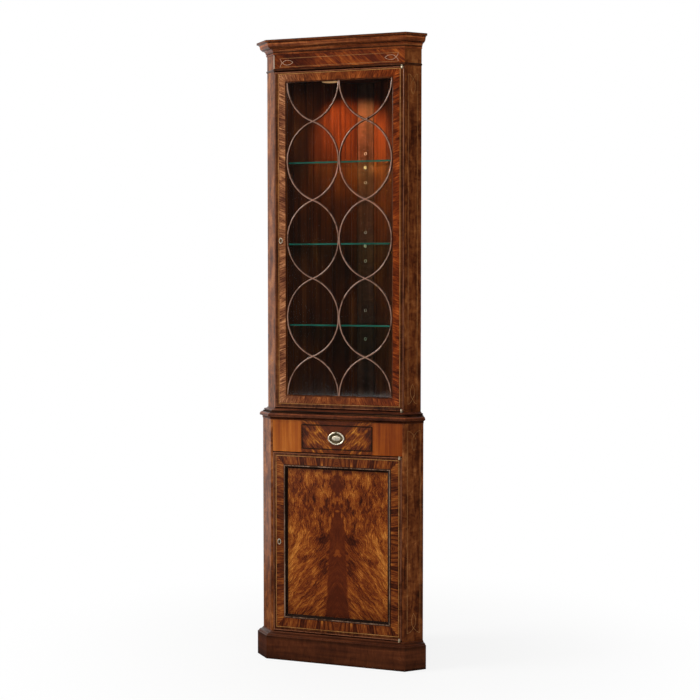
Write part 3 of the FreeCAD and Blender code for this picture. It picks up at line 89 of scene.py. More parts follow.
def add_node(
    tree: Tree, kind: str, inputs: dict | None = None, stops: Iterable[tuple[float, str | float]] = (),
    **settings: object,
) -> Node:
    """Adds one node with its settings, its input values and its links.

    Args:
        tree: the node tree that gets the node.
        kind: the node's type.
        inputs: a value, a socket or a whole node for each input; a node gives its first output.
        stops: place of each stop of a colour ramp, with its hex colour or its plain value.
        settings: the node's own properties.

    Returns:
        The new node.
    """
    node = tree.nodes.new(kind)
    for name, value in settings.items():
        setattr(node, name, value)
    for key, value in (inputs or {}).items():
        source = value.outputs[0] if isinstance(value, Node) else value
        if isinstance(source, bpy.types.NodeSocket):
            tree.links.new(source, node.inputs[key])
        else:
            node.inputs[key].default_value = source
    for index, (place, colour) in enumerate(stops):
        ramp = node.color_ramp.elements
        stop = ramp[index] if index < len(ramp) else ramp.new(place)
        stop.position = place
        is_hex = isinstance(colour, str)
        stop.color = linear(colour) if is_hex else (colour, colour, colour, 1.0)
    return node


class Grain(Enum):
    """Which way the grain of a board runs: a flag for each axis that the grain follows."""

    UPRIGHT = (False, False, True)
    ROUND_THE_CASE = (True, True, False)
    SIDE_TO_SIDE = (True, False, False)
    FRONT_TO_BACK = (False, True, False)

    def patch(self, across: float, along: float) -> Triple:
        """Gives the size along the three axes of a patch so wide across and along the grain."""
        x, y, z = (along if runs else across for runs in self.value)
        return x, y, z


@dataclass(frozen=True)
class Finish:
    """A finish: one material, made once and then shared by every piece that has it."""

    name: str

    def make(self) -> bpy.types.Material:
        """Gives the finish's material, and builds its nodes the first time.

        Returns:
            The material.
        """
        found = bpy.data.materials.get(self.name)
        if found:
            return found
        material = bpy.data.materials.new(self.name)
        material.use_nodes = True
        tree = material.node_tree
        tree.nodes.clear()
        shader = self.surface(tree)
        add_node(tree, "ShaderNodeOutputMaterial", {"Surface": shader})
        return material

    def surface(self, tree: Tree) -> Node:
        """Builds the nodes of the finish; each kind of finish has its own."""
        raise NotImplementedError


@dataclass(frozen=True)
class Layer:
    """One layer of a wood's figure: patches of noise of a real size, in millimetres."""

    size: Triple
    share: float
    detail: float = 3.0
    wander: float = 0.6


def figure(tree: Tree, place: Source, layers: Iterable[Layer]) -> Node:
    """Adds up layers of noise, each by its share.

    Args:
        tree: the material's nodes.
        place: the coordinates in metres.
        layers: the layers.

    Returns:
        A node with the sum, about 0.3 to 0.7 where the shares make one.
    """
    total: Source = 0.0
    for layer in layers:
        spot = add_node(
            tree,
            "ShaderNodeVectorMath",
            {0: place, 1: [1 / MM / part for part in layer.size]},
            operation="MULTIPLY",
        )
        noise = add_node(
            tree, "ShaderNodeTexNoise",
            {"Vector": spot, "Scale": 1.0, "Detail": layer.detail, "Distortion": layer.wander},
        )
        total = add_node(
            tree, "ShaderNodeMath", {0: noise, 1: layer.share, 2: total}, operation="MULTIPLY_ADD"
        )
    return total


def ramp_along(tree: Tree, place: Source, stops: Sequence[tuple[float, str | float]]) -> Node:
    """Lays a ramp along one axis.

    Args:
        tree: the material's nodes.
        place: the place along the axis, in metres.
        stops: millimetres along the axis, each with its hex colour or its plain value.

    Returns:
        The ramp's node.
    """
    start, end = stops[0][0], stops[-1][0]
    share = add_node(tree, "ShaderNodeMapRange", {0: place, 1: start * MM, 2: end * MM})
    shares = [((at - start) / (end - start), level) for at, level in stops]
    return add_node(tree, "ShaderNodeValToRGB", {0: share}, shares)


def oval_reach(tree: Tree, place: Source, middle: Pair, half: Pair) -> bpy.types.NodeSocket:
    """Gives how far out a place lies in an upright oval.

    Args:
        tree: the material's nodes.
        place: the place in metres.
        middle: the oval's middle in millimetres, across and up.
        half: its half width and half height in millimetres.

    Returns:
        A socket that is 0 in the middle and 1 on the oval.
    """
    (x, z), (wide, tall) = middle, half
    spot = add_node(
        tree, "ShaderNodeVectorMath",
        {0: place, 1: (1 / MM / wide, 0.0, 1 / MM / tall), 2: (-x / wide, 0.0, -z / tall)},
        operation="MULTIPLY_ADD",
    )
    reach = add_node(tree, "ShaderNodeVectorMath", {0: spot}, operation="LENGTH")
    return reach.outputs["Value"]


# Old shellac warms what the polish mirrors.
SHELLAC = "#f2c6a2"
COAT_ROUGHNESS = 0.12
# How strongly pores dent the polish, and how deep, in millimetres.
PORE_RELIEF, PORE_DENT = 0.15, 0.12
# How much rougher dark figure is than the finish says, and how much smoother pale figure is.
ROUGHER, SMOOTHER = 0.07, 0.05
# The length over which the feathers of a crotch veneer bend upright, in metres.
FEATHER_BEND = 0.1
# Where the ragged edge of its spine begins and ends, as shares of how far it strays.
SPINE_EDGE = (0.7, 1.3)


@dataclass(frozen=True, kw_only=True)
class Wood(Finish):
    """Polished wood: a tone run through its shades, painted shade, pores and an uneven gloss.

    Pairs of millimetres and share give painted light and shade by height: painted shade in
    hollows, under edges and low in the case, painted highlights on rounded edges. sides gives a
    tint by place across, in the same way; on some finishes that tint is painted light and shade.
    """

    shades: tuple[str, ...]
    spread: Pair = (0.36, 0.64)
    painted_light_bands: tuple[Pair, ...] = ()
    sides: tuple[tuple[float, str], ...] = ()
    pore: Triple = (1.3, 1.3, 16.0)
    pore_depth: float = 0.66
    pore_edges: Pair = (0.34, 0.46)
    roughness: float = 0.3
    coat: float = 0.25
    shine: float = 0.3

    def tone(self, tree: Tree, coords: Source) -> Source:
        """Builds the tone of the figure; each kind of wood has its own."""
        raise NotImplementedError

    def coordinates(self, tree: Tree) -> Source:
        """Gives the coordinates in metres that the figure runs on."""
        return add_node(tree, "ShaderNodeTexCoord").outputs["Object"]

    def surface(self, tree: Tree) -> Node:
        """Builds the polished wood from its tone.

        Args:
            tree: the material's nodes.

        Returns:
            The shader node.
        """
        coords = self.coordinates(tree)
        tone = self.tone(tree, coords)
        low, high = self.spread
        full, none = self.pore_edges
        step = (high - low) / (len(self.shades) - 1)
        colour = add_node(
            tree,
            "ShaderNodeValToRGB",
            {0: tone},
            [(low + step * i, shade) for i, shade in enumerate(self.shades)],
        )
        pores = figure(tree, coords, [Layer(self.pore, 1.0, 2.0, 0.0)])
        depth = add_node(
            tree, "ShaderNodeMapRange", {0: pores, 1: full, 2: none, 3: self.pore_depth, 4: 1.0}
        )
        # The pores and the painted light and shade by height scale the colour.
        dulled = add_node(
            tree, "ShaderNodeMath", {0: depth, 1: self.painted_brightness(tree, coords)}, operation="MULTIPLY"
        )
        darkened = add_node(
            tree, "ShaderNodeVectorMath", {0: colour, "Scale": dulled}, operation="SCALE"
        )
        gloss = add_node(
            tree,
            "ShaderNodeMapRange",
            {
                0: tone, 1: NOISE_DARK, 2: NOISE_PALE, 3: self.roughness + ROUGHER,
                4: self.roughness - SMOOTHER,
            },
        )
        bump = add_node(
            tree, "ShaderNodeBump",
            {"Height": depth, "Strength": PORE_RELIEF, "Distance": PORE_DENT * MM},
        )
        return add_node(
            tree,
            "ShaderNodeBsdfPrincipled",
            {
                "Base Color": self.tinted(tree, darkened), "Roughness": gloss, "Normal": bump,
                "IOR": REFRACTION, "Specular IOR Level": self.shine, "Specular Tint": linear(SHELLAC),
                "Coat Weight": self.coat, "Coat Roughness": COAT_ROUGHNESS,
            },
        )

    def painted_brightness(self, tree: Tree, coords: Source) -> Source:
        """Gives the painted light and shade by height, or one where the finish has none.

        Args:
            tree: the material's nodes.
            coords: the coordinates in metres.

        Returns:
            A node or a number.
        """
        if not self.painted_light_bands:
            return 1.0
        height = add_node(tree, "ShaderNodeSeparateXYZ", {0: coords}).outputs["Z"]
        return ramp_along(tree, height, self.painted_light_bands)

    def tinted(self, tree: Tree, colour: Source) -> Source:
        """Tints the colour by place across, or leaves it where the finish has no sides.

        On some finishes the tint is painted light and shade.

        Args:
            tree: the material's nodes.
            colour: the colour so far.

        Returns:
            A node with the colour.
        """
        if not self.sides:
            return colour
        coords = add_node(tree, "ShaderNodeTexCoord").outputs["Object"]
        across = add_node(tree, "ShaderNodeSeparateXYZ", {0: coords}).outputs["X"]
        tint = ramp_along(tree, across, self.sides)
        return add_node(tree, "ShaderNodeVectorMath", {0: colour, 1: tint}, operation="MULTIPLY")


@dataclass(frozen=True, kw_only=True)
class PolishedBoard(Wood):
    """Mahogany board under old wax and shellac: streaks along the grain, ripple and clouds."""

    grain: Grain = Grain.UPRIGHT
    lean: float = 0.0
    streak: Pair = (11.0, 240.0)
    ripple: Pair = (60.0, 16.0)
    cloud: Pair = (130.0, 320.0)
    shares: Triple = (0.5, 0.25, 0.25)

    def coordinates(self, tree: Tree) -> Source:
        """Turns the coordinates where the grain leans.

        Args:
            tree: the material's nodes.

        Returns:
            A socket with the coordinates in metres.
        """
        coords = super().coordinates(tree)
        turn = (0.0, math.radians(self.lean), 0.0)
        return add_node(tree, "ShaderNodeMapping", {"Vector": coords, "Rotation": turn}).outputs[0]

    def tone(self, tree: Tree, coords: Source) -> Source:
        """Adds up streaks, ripple and clouds.

        Args:
            tree: the material's nodes.
            coords: the coordinates in metres.

        Returns:
            A node with the tone.
        """
        streaks, ripples, clouds = (
            self.grain.patch(*pair) for pair in (self.streak, self.ripple, self.cloud)
        )
        return figure(
            tree,
            coords,
            [
                Layer(streaks, self.shares[0], 5.0, 0.9), Layer(ripples, self.shares[1], 3.0, 1.2),
                Layer(clouds, self.shares[2], 2.0, 0.6),
            ],
        )


@dataclass(frozen=True, kw_only=True)
class HighlitRod(PolishedBoard):
    """Rounded bead or bar: a painted highlight pale on its crown, painted shade dark at its foot.

    foot and crown are places along Y, in millimetres.
    """

    foot: float
    crown: float
    lift: float = 0.3

    def tone(self, tree: Tree, coords: Source) -> Source:
        """Raises the tone from the foot to the crown of the rod, from painted shade to painted highlight.

        Args:
            tree: the material's nodes.
            coords: the coordinates in metres.

        Returns:
            A node with the tone.
        """
        depth = add_node(tree, "ShaderNodeSeparateXYZ", {0: coords}).outputs["Y"]
        # Painted light: pale on the crown, dark at the foot, by depth along Y.
        crown_highlight = add_node(
            tree, "ShaderNodeMapRange",
            {0: depth, 1: self.foot * MM, 2: self.crown * MM, 3: -self.lift / 2, 4: self.lift / 2},
        )
        return add_node(tree, "ShaderNodeMath", {0: super().tone(tree, coords), 1: crown_highlight})


@dataclass(frozen=True)
class Mark:
    """A soft oval in a veneer on both sides of its middle line, lighter or darker by lift."""

    out: float
    up: float
    wide: float
    tall: float
    lift: float


@dataclass(frozen=True, kw_only=True)
class FlameVeneer(Wood):
    """Crotch mahogany veneer, book-matched: feathers that lean to a dark spine.

    Places are millimetres out from the middle line and up from the middle's height. Above
    upright the feathers stand straight. spine gives the spine's half width by height. sway and
    ragged are how far the feathers and the spine's edge stray, over patches of the sizes below
    them. A mark fades from mark_core of its size outward.
    """

    middle: Pair
    lean: float
    upright: float
    layers: tuple[Layer, ...]
    sway: float
    sway_patch: Triple = (60.0, 50.0, 46.0)
    spine: tuple[Pair, ...]
    spine_tone: float
    hold: float
    ragged: float
    ragged_patch: Triple = (14.0, 50.0, 26.0)
    marks: tuple[Mark, ...]
    mark_core: float = 0.45

    def halves(self, tree: Tree, coords: Source) -> tuple[Source, Source]:
        """Folds the width on the middle line.

        Args:
            tree: the material's nodes.
            coords: the coordinates in metres.

        Returns:
            How far out and how far up from the middle, in metres.
        """
        x, z = (part * MM for part in self.middle)
        centred = add_node(tree, "ShaderNodeMapping", {"Vector": coords, "Location": (-x, 0.0, -z)})
        axes = add_node(tree, "ShaderNodeSeparateXYZ", {0: centred})
        out = add_node(tree, "ShaderNodeMath", {0: axes.outputs["X"]}, operation="ABSOLUTE")
        return out, axes.outputs["Z"]

    def tone(self, tree: Tree, coords: Source) -> Source:
        """Builds the leaning feathers, their mottle, the spine and the marks.

        Args:
            tree: the material's nodes.
            coords: the coordinates in metres.

        Returns:
            A node with the tone.
        """
        out, up = self.halves(tree, coords)
        flat = add_node(tree, "ShaderNodeCombineXYZ", {"X": out, "Y": NOISE_CUT, "Z": up})
        sway = figure(tree, flat, [Layer(self.sway_patch, self.sway * MM * 2, 2.0, 0.4)])
        past = add_node(tree, "ShaderNodeMath", {0: up, 1: self.upright * MM}, operation="SUBTRACT")
        below = add_node(tree, "ShaderNodeMath", {0: past, 1: 0.0, 2: FEATHER_BEND}, operation="SMOOTH_MIN")
        leaning = add_node(
            tree, "ShaderNodeMath", {0: below, 1: self.lean, 2: out}, operation="MULTIPLY_ADD"
        )
        phase = add_node(tree, "ShaderNodeMath", {0: leaning, 1: sway})
        place = add_node(tree, "ShaderNodeCombineXYZ", {"X": phase, "Y": NOISE_CUT, "Z": up})
        tone = figure(tree, place, self.layers)
        tone = add_node(
            tree, "ShaderNodeMix",
            {0: self.in_spine(tree, out, up, flat), "A": tone, "B": self.spine_tone}, data_type="FLOAT",
        ).outputs["Result"]
        for mark in self.marks:
            tone = self.add_mark(tree, flat, tone, mark)
        return tone

    def in_spine(self, tree: Tree, out: Source, up: Source, flat: Source) -> Source:
        """Gives how far a place lies in the spine, whose edge is ragged.

        Args:
            tree: the material's nodes.
            out: the distance from the middle line.
            up: the height above the middle.
            flat: both, as one vector.

        Returns:
            A node from 0 outside to the share that the spine holds inside.
        """
        width = ramp_along(tree, up, [(at, wide * MM) for at, wide in self.spine])
        edge = add_node(tree, "ShaderNodeMath", {0: out, 1: width}, operation="SUBTRACT")
        torn = figure(tree, flat, [Layer(self.ragged_patch, self.ragged * MM * 2, 4.0, 0.9)])
        ragged = add_node(tree, "ShaderNodeMath", {0: edge, 1: torn})
        inner, outer = (self.ragged * MM * share for share in SPINE_EDGE)
        return add_node(
            tree, "ShaderNodeMapRange", {0: ragged, 1: inner, 2: outer, 3: self.hold, 4: 0.0},
            interpolation_type="SMOOTHSTEP",
        )

    def add_mark(self, tree: Tree, flat: Source, tone: Source, mark: Mark) -> Node:
        """Lays one soft oval over the tone.

        Args:
            tree: the material's nodes.
            flat: the place, out and up, in metres.
            tone: the tone so far.
            mark: the oval.

        Returns:
            The new tone.
        """
        reach = oval_reach(tree, flat, (mark.out, mark.up), (mark.wide, mark.tall))
        lift = add_node(
            tree, "ShaderNodeMapRange", {0: reach, 1: self.mark_core, 2: 1.0, 3: mark.lift, 4: 0.0},
            interpolation_type="SMOOTHSTEP",
        )
        return add_node(tree, "ShaderNodeMath", {0: tone, 1: lift})


@dataclass(frozen=True, kw_only=True)
class CrossBanding(Wood):
    """Banding of short veneer strips whose grain runs across it, matched at each middle.

    The grain leans by lean at the middle of a length, and by far_lean from lean_reach on.
    """

    lean: float = 0.9
    lean_reach: float = 60.0
    far_lean: float = 0.15
    layers: tuple[Layer, ...] = (
        Layer((4.2, 60.0, 50.0), 0.44, 4.0, 0.7), Layer((36.0, 80.0, 50.0), 0.38, 2.0, 0.5),
        Layer((2.0, 12.0, 50.0), 0.18, 2.0, 0.3),
    )
    pore: Triple = (1.0, 9.0, 50.0)

    def coordinates(self, tree: Tree) -> Source:
        """Gives the band's own map in metres: along it, across it."""
        return add_node(tree, "ShaderNodeUVMap", uv_map=BAND_UV).outputs["UV"]

    def tone(self, tree: Tree, coords: Source) -> Source:
        """Builds cross stripes that lean near the middle of each length.

        Args:
            tree: the material's nodes.
            coords: the band's map.

        Returns:
            A node with the tone.
        """
        axes = add_node(tree, "ShaderNodeSeparateXYZ", {0: coords})
        along = add_node(tree, "ShaderNodeMath", {0: axes.outputs["X"]}, operation="ABSOLUTE")
        lean = add_node(
            tree, "ShaderNodeMapRange",
            {0: along, 1: 0.0, 2: self.lean_reach * MM, 3: self.lean, 4: self.far_lean},
            interpolation_type="SMOOTHSTEP",
        )
        leaning = add_node(
            tree, "ShaderNodeMath", {0: axes.outputs["Y"], 1: lean, 2: along}, operation="MULTIPLY_ADD"
        )
        place = add_node(
            tree, "ShaderNodeCombineXYZ", {"X": leaning, "Y": axes.outputs["Y"], "Z": NOISE_CUT}
        )
        return figure(tree, place, self.layers)


@dataclass(frozen=True, kw_only=True)
class AgedMetal(Finish):
    """Cast and turned metal with a skin of age: bright where hands rub, brown in the hollows.

    boss is an upright oval, as its middle and its half sizes, and the metal round it is dull,
    from boss_edge of its reach on. Where bare_from is given, the metal on the left of that
    place is dull. Dull metal is rougher by rougher.
    """

    bright: str
    dull: str
    patch: float = 5.0
    spread: Pair = (0.34, 0.5)
    roughness: float = 0.3
    metallic: float = 1.0
    rougher: float = 0.2
    boss: tuple[Pair, Pair] | None = None
    boss_edge: Pair = (0.96, 1.04)
    bare_from: float | None = None

    def tarnish(self, tree: Tree) -> Source:
        """Gives where the metal is dull.

        Args:
            tree: the material's nodes.

        Returns:
            A node that is 0 where the metal is bright and 1 where it is dull.
        """
        coords = add_node(tree, "ShaderNodeTexCoord").outputs["Object"]
        noise = figure(tree, coords, [Layer((self.patch,) * 3, 1.0, 4.0, 0.0)])
        low, high = self.spread
        worn = add_node(tree, "ShaderNodeMapRange", {0: noise, 1: low, 2: high, 3: 1.0, 4: 0.0})
        if self.bare_from is not None:
            across = add_node(tree, "ShaderNodeSeparateXYZ", {0: coords}).outputs["X"]
            edge = self.bare_from * MM
            covered = add_node(
                tree, "ShaderNodeMapRange", {0: across, 1: edge - MM, 2: edge, 3: 1.0, 4: 0.0}
            )
        elif self.boss:
            reach = oval_reach(tree, coords, *self.boss)
            inner, outer = self.boss_edge
            covered = add_node(tree, "ShaderNodeMapRange", {0: reach, 1: inner, 2: outer})
        else:
            return worn
        return add_node(tree, "ShaderNodeMath", {0: worn, 1: covered}, operation="MAXIMUM")

    def surface(self, tree: Tree) -> Node:
        """Builds the two tones of the metal and its patchy gloss.

        Args:
            tree: the material's nodes.

        Returns:
            The shader node.
        """
        dulled = self.tarnish(tree)
        colour = add_node(
            tree, "ShaderNodeMix", {0: dulled, "A": linear(self.bright), "B": linear(self.dull)},
            data_type="RGBA",
        )
        gloss = add_node(
            tree, "ShaderNodeMapRange",
            {0: dulled, 1: 0.0, 2: 1.0, 3: self.roughness, 4: self.roughness + self.rougher},
        )
        return add_node(
            tree, "ShaderNodeBsdfPrincipled",
            {"Base Color": colour.outputs["Result"], "Roughness": gloss, "Metallic": self.metallic},
        )


@dataclass(frozen=True)
class ClearGlass(Finish):
    """Polished glass that lets the lamps through, with faint smears, rougher by rougher."""

    tint: str = "#f6faf8"
    roughness: float = 0.02
    smear: float = 110.0
    smear_edges: Pair = (0.4, 0.7)
    rougher: float = 0.03

    def surface(self, tree: Tree) -> Node:
        """Builds the glass, and a clear stand-in for rays from the lamps.

        Args:
            tree: the material's nodes.

        Returns:
            The shader node.
        """
        coords = add_node(tree, "ShaderNodeTexCoord").outputs["Object"]
        smears = figure(tree, coords, [Layer((self.smear,) * 3, 1.0, 2.0, 0.0)])
        none, full = self.smear_edges
        gloss = add_node(
            tree, "ShaderNodeMapRange",
            {0: smears, 1: none, 2: full, 3: self.roughness, 4: self.roughness + self.rougher},
        )
        glass = add_node(
            tree,
            "ShaderNodeBsdfPrincipled",
            {
                "Base Color": linear(self.tint), "Roughness": gloss, "IOR": REFRACTION,
                "Transmission Weight": 1.0,
            },
        )
        clear = add_node(tree, "ShaderNodeBsdfTransparent", {"Color": linear(self.tint)})
        shadow = add_node(tree, "ShaderNodeLightPath").outputs["Is Shadow Ray"]
        return add_node(tree, "ShaderNodeMixShader", {0: shadow, 1: glass, 2: clear})


@dataclass(frozen=True, kw_only=True)
class LitGlass(Finish):
    """Glass that gives out light: the lamp's frosted lens, and a shelf's edge, with a painted glow.

    uneven gives the shares of the strength in the dim and the bright patches.
    """

    body: str = "#fff4e0"
    glow: str
    strength: float
    uneven: Pair = (0.5, 1.3)
    uneven_edges: Pair = (0.35, 0.65)
    patch: float = 1.5
    roughness: float = 0.35
    rougher: float = 0.15

    def surface(self, tree: Tree) -> Node:
        """Builds the tinted glass with its uneven light.

        Args:
            tree: the material's nodes.

        Returns:
            The shader node.
        """
        coords = add_node(tree, "ShaderNodeTexCoord").outputs["Object"]
        patches = figure(tree, coords, [Layer((self.patch,) * 3, 1.0, 2.0, 0.0)])
        rough = self.roughness + self.rougher
        gloss = add_node(
            tree, "ShaderNodeMapRange",
            {0: patches, 1: NOISE_DARK, 2: NOISE_PALE, 3: self.roughness, 4: rough},
        )
        low, high = self.uneven_edges
        dim, bright = (self.strength * share for share in self.uneven)
        light = add_node(tree, "ShaderNodeMapRange", {0: patches, 1: low, 2: high, 3: dim, 4: bright})
        return add_node(
            tree,
            "ShaderNodeBsdfPrincipled",
            {
                "Base Color": linear(self.body), "Roughness": gloss,
                "Emission Color": linear(self.glow), "Emission Strength": light,
            },
        )


# French-polished mahogany of the canted sides: red brown, blotchy upright figure, worn soft gloss.
CARCASE = PolishedBoard(
    "mahogany_french_polished", shades=("#2c1007", "#582810", "#884b23", "#b57642"),
    spread=(0.33, 0.67),
    # Painted light: the left canted sides are tinted lighter than the rest, as light falls from the left.
    sides=((-333.0, "#ffffff"), (-250.0, "#ffffff"), (-235.0, "#e8e2e0"), (333.0, "#e8e2e0")), coat=0.1,
    streak=(14.0, 90.0), ripple=(28.0, 20.0), cloud=(54.0, 105.0), shares=(0.38, 0.26, 0.36),
)
# Mahogany mouldings of the cornice: grain follows the runs; by height, painted shade
# in the hollows and painted highlights on the rounds.
CORNICE = PolishedBoard(
    "mahogany_cornice_polished",
    shades=("#371309", "#5e2912", "#884420", "#b06a3a"),
    grain=Grain.ROUND_THE_CASE,
    streak=(6.0, 150.0),
    painted_light_bands=(
        (2239.0, 0.2), (2241.5, 1.1), (2246.0, 0.9), (2249.0, 0.12), (2252.0, 0.65), (2258.0, 1.5),
        (2260.5, 0.2), (2264.0, 0.65), (2271.0, 0.8), (2277.5, 1.5), (2281.0, 0.25), (2286.0, 0.7),
        (2290.0, 0.06),
    ),
)
# The same mahogany at the waist: a painted highlight on the rounded edge between two
# hollows of painted shade, and a painted shadow in the gap between the stages.
WAIST = PolishedBoard(
    "mahogany_waist_polished",
    shades=("#3a160b", "#5f2b17", "#854527", "#a7663f"),
    grain=Grain.ROUND_THE_CASE,
    streak=(7.0, 150.0),
    painted_light_bands=(
        (895.0, 0.15), (900.0, 0.65), (903.5, 0.15), (907.0, 0.6), (911.0, 0.35), (915.5, 0.8),
        (918.8, 1.25), (920.2, 0.1), (928.0, 0.03), (930.5, 0.5), (933.5, 0.8), (937.0, 0.15),
    ),
)
# Thin astragal below the frieze: dark with painted shade, and a painted highlight on its crown.
ASTRAGAL = PolishedBoard(
    "mahogany_astragal_polished", shades=("#260e07", "#43200f", "#66351d", "#83503a"),
    grain=Grain.ROUND_THE_CASE, painted_light_bands=((2179.0, 0.1), (2184.0, 0.85), (2187.0, 0.3), (2190.0, 0.12)),
)
# Darker stained mahogany of the plinth: painted shade near black red at the floor, and
# painted highlights and shade along its moulding.
PLINTH = PolishedBoard(
    "mahogany_dark_stained", shades=("#2b1108", "#431e0f", "#5b2d17", "#703d22"), spread=(0.3, 0.7),
    grain=Grain.ROUND_THE_CASE, streak=(20.0, 260.0),
    painted_light_bands=((0.0, 0.2), (9.0, 0.75), (70.0, 1.0), (83.0, 0.4), (90.0, 1.1), (96.0, 0.5), (101.0, 1.35)),
)
# Veneer with slanting flames for the frieze: orange streaks on purple brown.
FRIEZE = PolishedBoard(
    "mahogany_flame_frieze", shades=("#35140b", "#571f0f", "#883f17", "#bd6c29"),
    sides=((-252.0, "#a8939a"), (-125.0, "#a8939a"), (-75.0, "#ffffff"), (252.0, "#ffffff")), lean=48.0,
    streak=(7.5, 60.0), ripple=(50.0, 40.0), shares=(0.42, 0.18, 0.4),
)
# Solid mahogany frames of the doors: mostly under the banding, a dark margin shows.
DOOR_FRAME = PolishedBoard("mahogany_door_frame", shades=("#1e0a05", "#391809", "#552a12", "#70401e"))
# Glazing bars: painted shade dark at the glass, a pinkish painted highlight on the crown.
BAR = HighlitRod(
    "mahogany_glazing_bar_rubbed", shades=("#130804", "#30190f", "#57382b", "#957261"),
    streak=(5.0, 90.0), roughness=0.24, coat=0.4, foot=-146.2, crown=-150.1, lift=0.4,
)
# Bead round the upper door: the same painted highlight on its crown and shade at its foot, further out.
UPPER_BEAD = HighlitRod(
    "mahogany_upper_bead_rubbed", shades=("#180904", "#3a180c", "#63341f", "#8c573d"),
    streak=(5.0, 90.0), foot=-151.4, crown=-153.0,
)
# Bead round the lower door: the same, on that door's face.
LOWER_BEAD = replace(UPPER_BEAD, name="mahogany_lower_bead_highlit", foot=-172.4, crown=-174.0)
# Straight-grained mahogany beside the drawer: soft broad orange stripes.
STRIPED = PolishedBoard(
    "mahogany_ribbon_stripe", shades=("#682a0a", "#8a4110", "#a15517", "#b96c29"), spread=(0.32, 0.68),
    sides=((-252.0, "#ffffff"), (-130.0, "#fff8f4"), (130.0, "#e6d2c4"), (252.0, "#dcc6b4")),
    streak=(18.0, 420.0), ripple=(50.0, 60.0), shares=(0.6, 0.1, 0.3), pore_depth=0.88,
)
# Crotch veneer of the lower panel: mottled feathers rise to the plain dark spine.
FLAME_PANEL = FlameVeneer(
    "mahogany_crotch_book_matched",
    shades=("#2a0d06", "#521e0b", "#7d3911", "#9f561d", "#c98236"),
    spread=(0.385, 0.64),
    # Painted shade darkens the panel at its top and bottom edges, next to the moulding.
    painted_light_bands=((154.0, 0.45), (185.0, 0.88), (300.0, 1.05), (690.0, 1.0), (730.0, 0.5)),
    middle=(0.0, 442.0),
    lean=0.9,
    upright=0.0,
    sway=18.0,
    layers=(
        Layer((9.0, 50.0, 66.0), 0.42, 4.0, 2.6), Layer((5.5, 50.0, 9.0), 0.3, 4.0, 2.4),
        Layer((40.0, 50.0, 60.0), 0.28, 2.0, 0.9),
    ),
    spine=(
        (-288.0, 46.0), (-100.0, 36.0), (50.0, 30.0), (105.0, 22.0), (136.0, 4.0), (168.0, 2.0),
        (196.0, 16.0), (214.0, 26.0), (238.0, 8.0), (288.0, 0.0),
    ),
    spine_tone=0.435,
    hold=0.75,
    ragged=13.0,
    marks=(
        Mark(43.0, 146.0, 21.0, 30.0, -0.08), Mark(60.0, 122.0, 16.0, 20.0, -0.04),
        Mark(0.0, 168.0, 7.0, 13.0, 0.1), Mark(0.0, -30.0, 13.0, 15.0, 0.06),
        Mark(9.0, -42.0, 9.0, 8.0, 0.05), Mark(0.0, 122.0, 12.0, 6.0, 0.09),
        Mark(17.0, 108.0, 5.0, 14.0, 0.09), Mark(27.0, 88.0, 5.0, 16.0, 0.08),
        Mark(40.0, 250.0, 30.0, 16.0, 0.05), Mark(14.0, 262.0, 9.0, 14.0, 0.07),
        Mark(62.0, -20.0, 36.0, 170.0, -0.03), Mark(175.0, -60.0, 50.0, 220.0, 0.035),
        Mark(150.0, 230.0, 70.0, 60.0, 0.025),
    ),
)
# Crotch veneer of the drawer and the rails by it: feathers fall to the middle.
FLAME_DRAWER = FlameVeneer(
    "mahogany_crotch_drawer",
    shades=("#2c0f06", "#4d1d0c", "#70320f", "#9b5517", "#c98734"),
    spread=(0.38, 0.66),
    middle=(0.0, 836.0),
    lean=-0.75,
    upright=200.0,
    sway=8.0,
    layers=(
        Layer((7.0, 50.0, 30.0), 0.45, 3.0, 0.8), Layer((3.5, 50.0, 9.0), 0.2, 3.0, 0.8),
        Layer((26.0, 50.0, 32.0), 0.35, 2.0, 0.5),
    ),
    spine=((-60.0, 18.0), (-40.0, 20.0), (10.0, 36.0), (60.0, 62.0)),
    spine_tone=0.45,
    hold=0.75,
    ragged=9.0,
    marks=(Mark(72.0, 2.0, 50.0, 40.0, 0.05), Mark(130.0, 0.0, 24.0, 60.0, -0.06)),
)
# Cross-grained mahogany banding: short stripes from dark brown to gold.
BANDING = CrossBanding(
    "mahogany_cross_banding", shades=("#250b05", "#4e1e0c", "#803e15", "#b06c2b"), spread=(0.37, 0.64)
)
# The same banding on the upper door: a painted pinkish sheen on the left, orange red on the right.
UPPER_BANDING = CrossBanding(
    "mahogany_cross_banding_sheened",
    shades=("#3c1e16", "#693b27", "#a0653f", "#d7a070"),
    spread=(0.38, 0.63),
    sides=(
        (-215.0, "#ffffff"), (-150.0, "#ecceaa"), (-60.0, "#dcb280"), (120.0, "#d9a471"),
        (215.0, "#d4925a"),
    ),
    far_lean=0.4,
    layers=(
        Layer((2.9, 45.0, 50.0), 0.52, 4.0, 0.8), Layer((30.0, 60.0, 50.0), 0.32, 2.0, 0.6),
        Layer((2.0, 12.0, 50.0), 0.16, 2.0, 0.3),
    ),
)
# Boxwood string round the doors under old polish: straw gone orange.
BOXWOOD = PolishedBoard(
    "boxwood_stringing", shades=("#8a5222", "#b0743a", "#c48a4c", "#d6a468"), streak=(3.0, 60.0),
    pore=(0.5, 0.5, 5.0),
)
# The pointed ovals of the frieze: boxwood bleached to cream.
CREAM_BOXWOOD = replace(
    BOXWOOD, name="boxwood_ovals_bleached", shades=("#94664a", "#b98c6e", "#d0aa8c", "#e0c0a4")
)
# The fine lines of sides and frieze, nearly lost under brown polish.
DARK_BOXWOOD = replace(
    BOXWOOD, name="boxwood_lines_browned", shades=("#6a4020", "#8a5a32", "#a67243", "#bc8a58")
)
